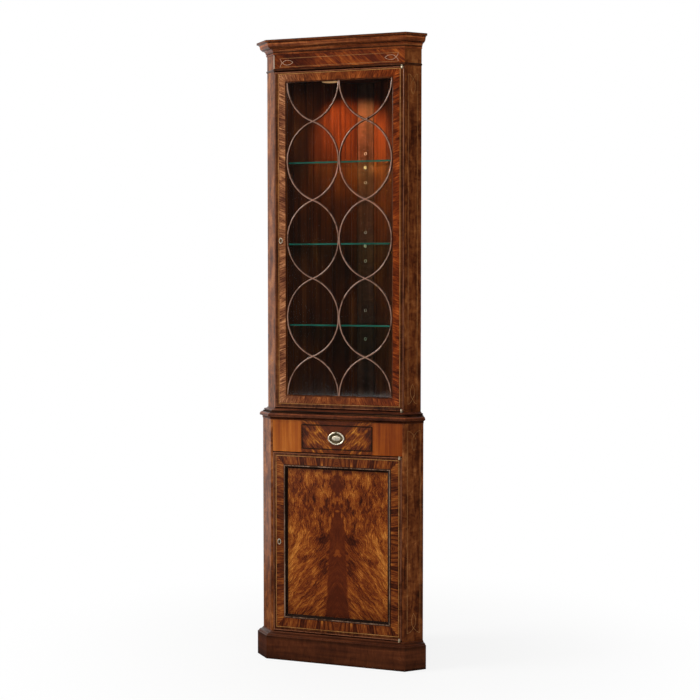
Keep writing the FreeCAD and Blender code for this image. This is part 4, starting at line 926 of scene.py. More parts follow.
# A pale sliver along the frieze's left arris.
PALE_ARRIS = PolishedBoard(
    "wood_worn_pale", shades=("#b79a80", "#cdb49b", "#dfcbb5", "#ecdcca"), streak=(2.0, 30.0)
)
# Bolection moulding, ebonised brown black: a thin painted highlight on its crown.
EBONISED = HighlitRod(
    "wood_ebonised_polished", shades=("#0c0503", "#1f100a", "#4c3223", "#8d705d"), spread=(0.3, 0.7),
    streak=(12.0, 200.0), pore_depth=0.92, roughness=0.22, coat=0.4, foot=-173.7, crown=-175.35,
    lift=0.4,
)
# Flat near-black: painted shade in the post's joints and bores and in the gap round the drawer.
SHADE_BLACK = PolishedBoard(
    "wood_ebonised_flat", shades=("#0b0503", "#150a06", "#1f100a", "#2c1911"), coat=0.1
)
# Inner boards: plain mahogany with only a thin seal, duller than the outside.
INNER = PolishedBoard(
    "mahogany_inner_sealed", shades=("#1d0e08", "#311a0f", "#472817", "#5a3722"),
    grain=Grain.SIDE_TO_SIDE, roughness=0.5, coat=0.0, shine=0.12,
)
# Back boards: upright red mahogany boards, satin seal, glowing under the lamp;
# painted shade darkens them lower down and on the left, painted light brightens the top.
BACK = PolishedBoard(
    "mahogany_back_boards", shades=("#2d1208", "#4b2210", "#683317", "#8b4f25"), spread=(0.33, 0.67),
    streak=(14.0, 800.0), ripple=(90.0, 160.0), shares=(0.5, 0.1, 0.4),
    painted_light_bands=((0.0, 0.75), (900.0, 0.55), (1500.0, 0.65), (1830.0, 0.9), (1920.0, 1.1), (2200.0, 1.15)),
    sides=((-300.0, "#c4bcb8"), (-20.0, "#dcd4d0"), (60.0, "#ffffff"), (300.0, "#fff4ee")),
    roughness=0.4, coat=0.0, shine=0.2, pore_depth=0.88,
)
# Corner post: the same wood gone grey brown, with painted shade lower down.
POST = PolishedBoard(
    "mahogany_corner_post", shades=("#23120b", "#3c2217", "#543224", "#6a4231"), streak=(18.0, 500.0),
    painted_light_bands=((944.0, 0.6), (1500.0, 0.75), (1800.0, 1.0), (2160.0, 1.0)), roughness=0.35, coat=0.1,
)
# Drawer lining: pale oak, scraped and left dry.
LINING = PolishedBoard(
    "oak_lining_dry", shades=("#7a5c3a", "#98784e", "#b09064", "#c2a67c"), grain=Grain.FRONT_TO_BACK,
    pore=(0.9, 9.0, 0.9), roughness=0.6, coat=0.0, shine=0.2,
)
# Cast brass with worn gilt lacquer: cream on the crowns, olive brown in the hollows.
OLD_BRASS = AgedMetal("brass_cast_worn", bright="#fbefd8", dull="#a48d66", roughness=0.45, metallic=0.7)
# Pivot hinges: leaves gone brown in their recesses, pale knuckles that stand free.
HINGE_BRASS = AgedMetal(
    "brass_hinge_worn", bright="#f3e2c0", dull="#4a3620", spread=(0.26, 0.4), roughness=0.45,
    metallic=0.7, bare_from=239.4,
)
# The pull's plate: an olive groove round a rubbed boss.
PULL_BRASS = AgedMetal(
    "brass_pull_worn", bright="#f4e6ca", dull="#75674b", roughness=0.45, metallic=0.7,
    boss=((0.0, 834.0), (16.8, 10.3)),
)
# Stamped brass of the lock plates: brown with age.
LOCK_BRASS = AgedMetal("brass_stamped_dull", bright="#6d5636", dull="#2c2113")
# Filed bolt steel: grey, lightly oiled.
BOLT_STEEL = AgedMetal("steel_filed_oiled", bright="#a7a6a2", dull="#5e5c58", patch=3.0)
# Enamelled steel ring of the ceiling light: bronze brown.
LAMP_RING = AgedMetal("steel_bronze_enamel", bright="#8a7558", dull="#4a3a28")
# Float glass pane of the door: clear, faint smears.
PANE = ClearGlass("glass_float_pane")
# Float glass shelves: the same glass, a little greener.
SHELF_GLASS = ClearGlass("glass_float_shelf", tint="#d5ebe0")
# Polished edge of the shelves: green, with a painted glow for the light piped from the lamp above.
SHELF_EDGE = LitGlass(
    "glass_float_edge", body="#123a31", glow="#2c8f78", strength=0.21, patch=60.0, roughness=0.1
)
# Frosted lens of the ceiling light, lit from behind.
LENS = LitGlass("glass_frosted_lit", glow="#ffc27e", strength=0.36)


@dataclass(frozen=True)
class Face:
    """A flat upright face: its middle in plan and how far it is turned from the front."""

    x: float
    y: float
    turn: float = 0.0

    def matrix(self) -> Matrix:
        """Gives the placing of a piece drawn on the face: X across it, Z up, Y into it."""
        return Matrix.Translation(Vector((self.x, self.y, 0.0)) * MM) @ Matrix.Rotation(
            math.radians(self.turn), 4, "Z"
        )


def dress(finish: Finish, *nodes: str) -> None:
    """Gives CAD nodes a finish in their material slots.

    Args:
        finish: the finish.
        nodes: the names of the nodes.
    """
    material = finish.make()
    for name in nodes:
        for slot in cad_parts[name].material_slots:
            slot.material = material
        LOG.info("node %s: %s", name, finish.name)


def add_object(name: str, data: bpy.types.ID) -> bpy.types.Object:
    """Adds an object to the scene.

    Args:
        name: the object's name.
        data: its mesh, curve, lamp or camera.

    Returns:
        The new object.
    """
    holder = bpy.data.objects.new(name, data)
    bpy.context.scene.collection.objects.link(holder)
    return holder


def hang_lamp(lamp: bpy.types.Light, place: Vector, aim: Vector) -> None:
    """Hangs a lamp in the scene, turned to the point that it lights.

    Args:
        lamp: the lamp.
        place: where it hangs, in metres.
        aim: the point, in metres.
    """
    holder = add_object(lamp.name, lamp)
    holder.location = place
    holder.rotation_euler = (aim - place).to_track_quat("-Z", "Y").to_euler()


def new_mesh(shape: bmesh.types.BMesh, name: str) -> bpy.types.Mesh:
    """Turns a worked shape into a mesh and lets it go.

    Args:
        shape: the shape in metres.
        name: the mesh's name.

    Returns:
        The mesh.
    """
    mesh = bpy.data.meshes.new(name)
    shape.to_mesh(mesh)
    shape.free()
    return mesh


def place_piece(
    name: str, mesh: bpy.types.Mesh, face: Face, body: str, finish: Finish
) -> bpy.types.Object:
    """Sets a finished mesh on its face and makes it ride with its body.

    Args:
        name: the piece's name.
        mesh: its mesh in metres, drawn on the face.
        face: the face that it lies on.
        body: the CAD body that carries it.
        finish: the finish.

    Returns:
        The new object.
    """
    mesh.transform(face.matrix())
    mesh.name = name
    mesh.materials.clear()
    mesh.materials.append(finish.make())
    piece = add_object(name, mesh)
    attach(piece, body)
    LOG.info("piece %s: %d faces on %s", name, len(mesh.polygons), body)
    return piece


@dataclass(frozen=True)
class Rectangle:
    """An upright rectangle on a face, symmetric about the face's middle line."""

    half_width: float
    low: float
    high: float

    def middle(self) -> float:
        """Gives the height of the rectangle's middle, in metres."""
        return (self.low + self.high) / 2 * MM

    def nearest_corner(self, point: Vector) -> Vector:
        """Gives the corner of the rectangle that is nearest to a point.

        Args:
            point: the point in metres.

        Returns:
            The corner in metres, as deep in the face as the point.
        """
        x = math.copysign(self.half_width, point.x) * MM
        z = (self.high if point.z > self.middle() else self.low) * MM
        return Vector((x, point.y, z))

    def shrunk(self, width: float) -> "Rectangle":
        """Gives the rectangle with each of its edges moved inward by a width."""
        return Rectangle(self.half_width - width, self.low + width, self.high - width)


@dataclass(frozen=True)
class Inlay:
    """A thin mitred band let into a face: the ring between two rectangles."""

    outer: Rectangle
    inner: Rectangle
    proud: float = 0.12
    depth: float = 0.5

    def mesh(self) -> bpy.types.Mesh:
        """Makes the ring: a sheet, inset, its middle taken out, drawn out to its thickness.

        Returns:
            The mesh in metres, with its banding map.
        """
        ring = bmesh.new()
        bmesh.ops.create_grid(
            ring, x_segments=1, y_segments=1, size=SHEET, matrix=Matrix.Rotation(math.pi / 2, 4, "X")
        )
        place = (0.0, -self.proud * MM, self.outer.middle())
        bmesh.ops.translate(ring, vec=place, verts=ring.verts[:])
        corners = ring.verts[:]
        centre = ring.faces[:]
        bmesh.ops.inset_region(
            ring, faces=centre, thickness=INSET, use_boundary=True, use_even_offset=True
        )
        for vert in ring.verts:
            box = self.outer if vert in corners else self.inner
            vert.co = box.nearest_corner(vert.co)
        bmesh.ops.delete(ring, geom=centre, context="FACES")
        sheet = ring.faces[:]
        drawn = bmesh.ops.extrude_face_region(ring, geom=sheet)
        backs = [part for part in drawn["geom"] if isinstance(part, bmesh.types.BMVert)]
        bmesh.ops.translate(ring, vec=(0.0, (self.proud + self.depth) * MM, 0.0), verts=backs)
        bmesh.ops.recalc_face_normals(ring, faces=ring.faces[:])
        self.map_band(ring)
        return new_mesh(ring, "inlay")

    def map_band(self, ring: bmesh.types.BMesh) -> None:
        """Maps each length of the band: U from its middle along it, V across it.

        Args:
            ring: the band's mesh.
        """
        layer = ring.loops.layers.uv.new(BAND_UV)
        height = (self.outer.high - self.outer.low) / 2 * MM
        middle = self.outer.middle()
        for face in ring.faces:
            spot = face.calc_center_median()
            upright = abs(spot.x) / (self.outer.half_width * MM) > abs(spot.z - middle) / height
            for loop in face.loops:
                point = loop.vert.co
                across = self.outer.half_width * MM - abs(point.x)
                along = point.z - middle
                if not upright:
                    across = height - abs(point.z - middle)
                    along = point.x
                shift = BAND_SHIFT * math.copysign(1.0, spot.x if upright else spot.z)
                loop[layer].uv = (along, across + shift)


def take_mesh(shape: bmesh.types.BMesh, name: str) -> bpy.types.Mesh:
    """Turns a worked shape into a mesh, smooth but for its real edges, and lets it go.

    Args:
        shape: the shape in metres.
        name: the mesh's name.

    Returns:
        The mesh.
    """
    bmesh.ops.recalc_face_normals(shape, faces=shape.faces[:])
    mesh = new_mesh(shape, name)
    mesh.shade_smooth()
    mesh.set_sharp_from_angle(angle=SHARP_ANGLE)
    return mesh


class Shape:
    """A form drawn on a face, in millimetres: X across it, Y into it, Z up."""

    def add_to(self, shapes: bmesh.types.BMesh) -> None:
        """Adds the form to a mesh; each kind of form has its own way.

        Args:
            shapes: the mesh that takes it, in metres.
        """
        raise NotImplementedError


@dataclass(frozen=True)
class Block(Shape):
    """Square block, by its middle and its sizes."""

    middle: Triple
    size: Triple

    def add_to(self, shapes: bmesh.types.BMesh) -> None:
        """Scales a cube to the sizes."""
        matrix = Matrix.LocRotScale(Vector(self.middle) * MM, None, Vector(self.size) * MM)
        bmesh.ops.create_cube(shapes, size=1.0, matrix=matrix)


@dataclass(frozen=True)
class Rod(Shape):
    """Round rod, upright, or a disc that lies in the face where flat is set."""

    middle: Triple
    radius: float
    length: float
    segments: int = 16
    flat: bool = False

    def add_to(self, shapes: bmesh.types.BMesh) -> None:
        """Draws the rod round its middle."""
        turn = Matrix.Rotation(math.pi / 2 if self.flat else 0.0, 4, "X")
        bmesh.ops.create_cone(
            shapes, cap_ends=True, segments=self.segments, radius1=self.radius * MM,
            radius2=self.radius * MM, depth=self.length * MM,
            matrix=Matrix.Translation(Vector(self.middle) * MM) @ turn,
        )


@dataclass(frozen=True)
class Serpentine(Shape):
    """Half-round glazing bar that swings between two upright lines in arcs of one radius.

    It starts on the line start, at the height low, and reaches high after whole swings.
    """

    start: float
    end: float
    low: float = 988.0
    high: float = 2136.5
    swings: int = 4
    width: float = 7.6
    rise: float = 6.0
    sides: int = 16
    steps: int = 18

    def add_to(self, shapes: bmesh.types.BMesh) -> None:
        """Turns a round section along the arcs, then planes it flat at its foot and ends.

        Args:
            shapes: the mesh that takes the bar, in metres.
        """
        quarter = (self.high - self.low) / self.swings / 2
        reach = abs(self.end - self.start) / 2
        radius = (reach**2 + quarter**2) / (2 * reach)
        half_turn = math.asin(quarter / radius)
        bar = bmesh.new()
        for swing in range(self.swings + 1):
            inward = math.copysign(1.0, self.end - self.start) * (-1) ** swing
            line = self.start if swing % 2 == 0 else self.end
            height = self.low + 2 * quarter * swing
            centre = Vector((line + inward * radius, 0.0, height)) * MM
            ring = bmesh.ops.create_circle(
                bar, cap_ends=swing == 0, segments=self.sides, radius=self.width / 2 * MM,
                matrix=Matrix.Translation(Vector((line, 0.0, height)) * MM),
            )["verts"]
            # The section turns upward past the arc's outermost point, so it starts below it.
            bmesh.ops.rotate(
                bar, verts=ring, cent=centre, matrix=Matrix.Rotation(-inward * half_turn, 3, "Y")
            )
            edges = {edge for vert in ring for edge in vert.link_edges}
            bmesh.ops.spin(
                bar, geom=[*ring, *edges], cent=centre, axis=(0.0, 1.0, 0.0),
                angle=inward * 2 * half_turn, steps=self.steps,
            )
        bmesh.ops.remove_doubles(bar, verts=bar.verts[:], dist=0.01 * MM)
        bmesh.ops.scale(bar, vec=(1.0, self.rise * 2 / self.width, 1.0), verts=bar.verts[:])
        cuts = (
            ((0.0, 0.0, self.low), (0.0, 0.0, -1.0)), ((0.0, 0.0, self.high), (0.0, 0.0, 1.0)),
            ((0.0, 0.0, 0.0), (0.0, 1.0, 0.0)),
        )
        for point, way in cuts:
            cut = bmesh.ops.bisect_plane(
                bar, geom=[*bar.verts, *bar.edges, *bar.faces], plane_co=Vector(point) * MM,
                plane_no=way, clear_outer=True,
            )["geom_cut"]
            rim = [part for part in cut if isinstance(part, bmesh.types.BMEdge)]
            bmesh.ops.edgenet_fill(bar, edges=rim)
        mesh = new_mesh(bar, "bar")
        shapes.from_mesh(mesh)
        bpy.data.meshes.remove(mesh)


@dataclass(frozen=True)
class Hoop(Shape):
    """Oval wire ring that lies on a face round a middle, its sizes to the wire's centre."""

    x: float
    z: float
    half_width: float
    half_height: float
    wire: float
    sides: int = 8
    steps: int = 28

    def add_to(self, shapes: bmesh.types.BMesh) -> None:
        """Turns a small circle right round the middle and draws it out to the oval.

        Args:
            shapes: the mesh that takes the ring, in metres.
        """
        middle = Vector((self.x, 0.0, self.z)) * MM
        ring = bmesh.ops.create_circle(
            shapes, segments=self.sides, radius=self.wire * MM,
            matrix=Matrix.Translation(middle + Vector((self.half_width * MM, 0.0, 0.0))),
        )["verts"]
        edges = {edge for vert in ring for edge in vert.link_edges}
        before = set(shapes.verts) - set(ring)
        bmesh.ops.spin(
            shapes, geom=[*ring, *edges], cent=middle, axis=(0.0, 1.0, 0.0), angle=math.tau,
            steps=self.steps, use_merge=True,
        )
        bmesh.ops.scale(
            shapes,
            vec=(1.0, 1.0, self.half_height / self.half_width),
            space=Matrix.Translation(-middle),
            verts=[vert for vert in shapes.verts if vert not in before],
        )


def gather(name: str, shapes: Iterable[Shape]) -> bpy.types.Mesh:
    """Makes one mesh of several shapes that are drawn on the same face.

    Args:
        name: the mesh's name.
        shapes: the shapes.

    Returns:
        The mesh in metres.
    """
    whole = bmesh.new()
    for shape in shapes:
        shape.add_to(whole)
    return take_mesh(whole, name)


# How a strand closes in on the crossing: shares of its distance out and of the way up.
CLOSING = ((1.0, 0.0), (0.58, 0.22), (0.26, 0.6), (0.0, 1.0))
# How it rounds the oval past the crossing: shares of the half width and of the length.
ROUNDING = ((0.86, 0.25), (1.0, 0.5), (0.66, 0.8))
# How far from the middle line a strand ends, in millimetres, so that two tips stay apart.
TIP_GAP = 0.2


@dataclass(frozen=True)
class Stringing:
    """Fine boxwood lines that end in a pointed oval where two strands cross."""

    half_width: float
    low: float
    high: float
    width: float = 1.5
    cross: float = 19.0
    oval: float = 54.0
    oval_half: float = 8.3
    level: bool = False
    proud: float = 0.15
    with_lines: bool = True
    with_ovals: bool = True

    def strands(self) -> list[list[Pair]]:
        """Gives the points of each strand on the face, across and up.

        Returns:
            Two straight lines, four curved strands, or both.
        """
        lines: list[list[Pair]] = []
        if self.with_lines:
            lines += [[(x, self.low), (x, self.high)] for x in (-self.half_width, self.half_width)]
        if not self.with_ovals:
            return lines
        for side in (-1, 1):
            for base, way in ((self.low, 1), (self.high, -1)):
                x, half = side * self.half_width, -side * self.oval_half
                tip = base + way * self.cross
                strand = [(x * out, base + way * self.cross * up) for out, up in CLOSING]
                strand += [(half * out, tip + way * self.oval * up) for out, up in ROUNDING]
                lines.append([*strand, (-side * TIP_GAP, tip + way * self.oval)])
        return lines

    def mesh(self) -> bpy.types.Mesh:
        """Makes the strands as thin flattened rods, half sunk in the face.

        Returns:
            The mesh in metres.
        """
        curve = bpy.data.curves.new("strands", "CURVE")
        curve.dimensions = "3D"
        curve.bevel_depth = self.width / 2 * MM
        curve.bevel_resolution = 1
        curve.use_fill_caps = True
        for points in self.strands():
            straight = len(points) == 2
            handle = "VECTOR" if straight else "AUTO"
            spline = curve.splines.new("BEZIER")
            spline.resolution_u = 1 if straight else 6
            spline.bezier_points.add(len(points) - 1)
            for knot, (x, z) in zip(spline.bezier_points, points):
                knot.co = Vector((x, 0.0, z)) * MM
                knot.handle_left_type = knot.handle_right_type = handle
        holder = add_object("strands", curve)
        bpy.context.view_layer.update()
        mesh = bpy.data.meshes.new_from_object(
            holder.evaluated_get(bpy.context.evaluated_depsgraph_get())
        )
        bpy.data.objects.remove(holder)
        bpy.data.curves.remove(curve)
        rods = bmesh.new()
        rods.from_mesh(mesh)
        bpy.data.meshes.remove(mesh)
        # The caps come loose from the rods, so they are welded on.
        rims = [vertex for vertex in rods.verts if vertex.is_boundary]
        bmesh.ops.remove_doubles(rods, verts=rims, dist=0.001 * MM)
        mesh = take_mesh(rods, "strands")
        mesh.transform(Matrix.Diagonal((1.0, self.proud * 2 / self.width, 1.0, 1.0)))
        if self.level:
            middle = (self.low + self.high) / 2 * MM
            lay = Matrix.Rotation(math.pi / 2, 4, "Y")
            shift = Matrix.Translation((0.0, 0.0, middle))
            mesh.transform(shift @ lay @ shift.inverted())
        return mesh


@dataclass
class Crown:
    """Cornice, frieze with its stringing, and the thin astragal below it."""

    face: Face = Face(0.0, -151.8)
    string_end: float = 228.6
    string_half: float = 15.5
    string_middle: float = 2210.0
    cross: float = 9.0
    oval: float = 42.0
    oval_half: float = 8.4
    arris: float = 252.3
    arris_half: float = 1.5
    arris_run: Pair = (2190.5, 2239.5)

    def build(self) -> None:
        """Dresses the crown and lays the frieze's stringing."""
        dress(CORNICE, "cornice")
        dress(ASTRAGAL, "frieze_astragal")
        dress(FRIEZE, "frieze")
        dress(INNER, "dust_board")
        for name, straight, finish in (
            ("frieze_lines", True, DARK_BOXWOOD), ("frieze_ovals", False, CREAM_BOXWOOD)
        ):
            strings = Stringing(
                self.string_half, self.string_middle - self.string_end,
                self.string_middle + self.string_end, cross=self.cross, oval=self.oval,
                oval_half=self.oval_half, level=True, with_lines=straight, with_ovals=not straight,
            )
            place_piece(name, strings.mesh(), self.face, "cabinet", finish)
        low, high = self.arris_run
        sliver = Rod((-self.arris, 0.0, (low + high) / 2), self.arris_half, high - low, segments=10)
        place_piece(
            "frieze_pale_arris", gather("sliver", [sliver]), self.face, "cabinet",
            PALE_ARRIS,
        )


@dataclass
class CantedSides:
    """Canted side boards of both stages with their upright stringing."""

    upper_middle: Pair = (276.45, -127.65)
    lower_middle: Pair = (288.2, -145.6)
    upper_run: Pair = (964.0, 2150.0)
    lower_run: Pair = (131.0, 871.0)
    upper_half: float = 18.5
    lower_half: float = 26.0

    def build(self) -> None:
        """Dresses the side boards and lays their stringing."""
        dress(CARCASE, "upper_side_left", "upper_side_right", "lower_side_left", "lower_side_right")
        stages = (
            ("upper", self.upper_middle, self.upper_run, self.upper_half),
            ("lower", self.lower_middle, self.lower_run, self.lower_half),
        )
        for stage, (x, y), (low, high), half in stages:
            for side, way in (("left", -1), ("right", 1)):
                lines = Stringing(half, low, high)
                place_piece(
                    f"{stage}_{side}_stringing", lines.mesh(), Face(way * x, y, way * 45.0), "cabinet",
                    DARK_BOXWOOD,
                )


@dataclass
class UpperCase:
    """Carcase of the display stage: boards, back, post, shelves and their pins."""

    shelf_front: Face = Face(0.0, -112.8)
    shelf_half: float = 260.2
    shelf_heights: tuple[float, ...] = (1245.5, 1545.5, 1845.5)
    shelf_thickness: float = 6.0
    edge_depth: float = 0.3
    post_face: Face = Face(0.0, 149.0)
    pin_heights: tuple[float, ...] = (1240.0, 1540.0, 1840.0)
    spare_step: float = 55.0
    rim_radius: float = 4.8
    rim_wire: float = 0.7
    bore_radius: float = 4.3
    post_half: float = 32.6
    post_run: Pair = (944.0, 2160.0)
    joint_width: float = 2.6
    shadow_depth: float = 0.6

    def build(self) -> None:
        """Dresses the boards, the glass shelves and the pins."""
        dress(WAIST, "upper_base_moulding", "waist_moulding")
        dress(INNER, "upper_bottom_board", "upper_top_board")
        dress(BACK, "upper_back_left", "upper_back_right")
        dress(POST, "back_corner_post")
        dress(SHELF_GLASS, "glass_shelves")
        dress(OLD_BRASS, "shelf_pins_and_sleeves")
        # Strips on the shelves' front edges carry a painted glow.
        size = (self.shelf_half * 2, self.edge_depth, self.shelf_thickness)
        edges = [Block((0.0, -self.edge_depth / 2, at), size) for at in self.shelf_heights]
        place_piece(
            "shelf_polished_edges", gather("edges", edges), self.shelf_front, "cabinet",
            SHELF_EDGE,
        )
        steps = (-self.spare_step, self.spare_step)
        spares = [pin + step for pin in self.pin_heights for step in steps]
        rims = [Hoop(0.0, at, self.rim_radius, self.rim_radius, self.rim_wire) for at in spares]
        place_piece(
            "post_sleeve_rims", gather("rims", rims), self.post_face, "cabinet", OLD_BRASS
        )
        # Painted shade: black discs in the spare bores and black lines in the post's joints.
        low, high = self.post_run
        middle, size = (low + high) / 2, (self.joint_width, self.shadow_depth, high - low)
        shadows = [
            *(Rod((0.0, 0.0, at), self.bore_radius, self.shadow_depth, flat=True) for at in spares),
            *(Block((side * self.post_half, 0.0, middle), size) for side in (-1, 1)),
        ]
        place_piece(
            "post_joints_and_bores", gather("shadows", shadows), self.post_face, "cabinet",
            SHADE_BLACK,
        )


@dataclass
class CeilingLight:
    """Small ceiling light: ring, frosted lens and the glow that it throws to the corner."""

    place: Triple = (-50.0, -50.0, 2142.0)
    aim: Triple = (-12.0, 150.0, 1850.0)
    power: float = 17.0
    colour: str = "#ffbe82"
    cone: float = 88.0
    radius: float = 18.0

    def build(self) -> None:
        """Dresses the light and sets its lamp."""
        dress(LAMP_RING, "light_housing")
        dress(LENS, "light_lens")
        lamp = bpy.data.lights.new("cabinet_lamp", "SPOT")
        lamp.energy = self.power
        lamp.color = linear(self.colour)[:3]
        lamp.spot_size = math.radians(self.cone)
        lamp.spot_blend = 1.0
        lamp.shadow_soft_size = self.radius * MM
        hang_lamp(lamp, Vector(self.place) * MM, Vector(self.aim) * MM)


@dataclass
class Door:
    """Framed door: frame, bead, banding, boxwood string, lock and hinge leaves.

    string and band are the outer edges of the string and the banding, sight is the banding's
    inner edge, key is the middle of the keyhole and plate its escutcheon's front along Y.
    """

    stage: str
    face: Face
    string: Rectangle
    band: Rectangle
    sight: Rectangle
    key: Pair
    plate: float
    bead: Finish
    banding: Finish
    string_width: float = 1.5
    string_proud: float = 0.16
    key_half: Pair = (6.0, 9.4)
    key_wire: float = 1.0

    def build(self) -> None:
        """Dresses the door, and lays its banding, its string and the rim of its keyhole."""
        door = f"{self.stage}_door"
        parts = ("stile_left", "stile_right", "rail_top", "rail_bottom")
        dress(DOOR_FRAME, *(f"{door}_{part}" for part in parts))
        dress(self.bead, f"{door}_bead")
        dress(LOCK_BRASS, f"{door}_lock")
        dress(BOLT_STEEL, f"{self.stage}_lock_bolt")
        dress(HINGE_BRASS, f"{door}_hinge_leaves")
        band = Inlay(self.band, self.sight)
        string = Inlay(self.string, self.string.shrunk(self.string_width), self.string_proud)
        for part, inlay, finish in (("banding", band, self.banding), ("string", string, BOXWOOD)):
            name = f"{door}_{part}"
            place_piece(name, inlay.mesh(), self.face, door, finish)
        rim = gather("rim", [Hoop(*self.key, *self.key_half, self.key_wire)])
        plate = Face(0.0, self.plate)
        place_piece(f"{self.stage}_key_rim", rim, plate, door, OLD_BRASS)


@dataclass
class UpperDoor(Door):
    """Glazed door, with its tracery, its pane and the beads that hold it."""

    stage: str = "upper"
    face: Face = Face(0.0, -151.8)
    string: Rectangle = Rectangle(236.2, 954.2, 2169.8)
    band: Rectangle = Rectangle(233.0, 957.4, 2166.6)
    sight: Rectangle = Rectangle(209.0, 983.0, 2141.5)
    key: Pair = (-227.3, 1558.0)
    plate: float = -153.0
    bead: Finish = UPPER_BEAD
    banding: Finish = UPPER_BANDING
    bar_foot: float = -143.8
    bar_lines: Pair = (1.5, 202.5)

    def build(self) -> None:
        """Dresses the glazing, bends the tracery and adds what both doors have."""
        dress(BAR, "glazing_beads", "tracery")
        inner, outer = self.bar_lines
        bars = [
            Serpentine(side * start, side * end)
            for side in (-1, 1)
            for start, end in ((inner, outer), (outer, inner))
        ]
        piece = place_piece(
            "tracery_bars", gather("bars", bars), Face(0.0, self.bar_foot), "upper_door",
            BAR,
        )
        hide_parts("tracery")
        dress(PANE, "upper_door_glass")
        dress(HINGE_BRASS, "hinge_frame_leaves")
        super().build()


@dataclass
class LowerCase:
    """Carcase of the cupboard stage: boards, rails round the drawer, back and plinth."""

    def build(self) -> None:
        """Dresses the boards, the front of the drawer stage and the plinth."""
        dress(INNER, "plinth_bearers", "lower_bottom_board", "lower_shelf", "lower_top_board")
        dress(BACK, "lower_back_left", "lower_back_right")
        dress(FLAME_DRAWER, "drawer_rail_upper", "drawer_rail_lower")
        dress(STRIPED, "drawer_side_panels")
        dress(PLINTH, "plinth_front", "plinth_ends", "plinth_moulding")


@dataclass
class LowerDoor(Door):
    """Panelled door, with its flame panel and the ebonised moulding round it."""

    stage: str = "lower"
    face: Face = Face(0.0, -172.8)
    string: Rectangle = Rectangle(240.7, 118.3, 762.7)
    band: Rectangle = Rectangle(237.3, 121.7, 759.3)
    sight: Rectangle = Rectangle(209.7, 154.0, 730.0)
    key: Pair = (-227.3, 439.5)
    plate: float = -174.0
    bead: Finish = LOWER_BEAD
    banding: Finish = BANDING

    def build(self) -> None:
        """Dresses the panel and its moulding and adds what both doors have."""
        dress(FLAME_PANEL, "lower_door_panel")
        dress(EBONISED, "lower_panel_moulding")
        super().build()


@dataclass
class Drawer:
    """Drawer with its flame front, oak lining and oval pull."""

    face: Face = Face(0.0, -174.3)
    bead: Rectangle = Rectangle(138.3, 791.6, 881.4)
    bead_width: float = 2.8
    boss: Triple = (0.0, -178.4, 834.0)
    boss_half: Triple = (16.0, 3.8, 9.6)

    def build(self) -> None:
        """Dresses the drawer and its pull."""
        dress(FLAME_DRAWER, "drawer_front")
        dress(LINING, "drawer_sides", "drawer_back", "drawer_bottom", "drawer_runners")
        dress(PULL_BRASS, "drawer_pull_plate")
        dress(OLD_BRASS, "drawer_pull_ring")
        # Painted shade: a black ring on the bead stands for the gap round the drawer.
        place_piece(
            "drawer_gap_shade", Inlay(self.bead, self.bead.shrunk(self.bead_width)).mesh(), self.face,
            "drawer", SHADE_BLACK,
        )
        dome = bmesh.new()
        bmesh.ops.create_uvsphere(dome, u_segments=32, v_segments=20, radius=MM)
        bmesh.ops.scale(dome, vec=self.boss_half, verts=dome.verts[:])
        bmesh.ops.translate(dome, vec=Vector(self.boss) * MM, verts=dome.verts[:])
        place_piece(
            "drawer_pull_boss", take_mesh(dome, "dome"), Face(0.0, 0.0), "drawer",
            OLD_BRASS,
        )


@dataclass(frozen=True)
class Softbox:
    """A square soft lamp, in metres and watts, that faces the point aim."""

    name: str
    place: Triple
    aim: Triple
    size: float
    power: float

    def hang(self) -> None:
        """Hangs the lamp in the scene."""
        lamp = bpy.data.lights.new(self.name, "AREA")
        lamp.size = self.size
        lamp.energy = self.power
        hang_lamp(lamp, Vector(self.place), Vector(self.aim))


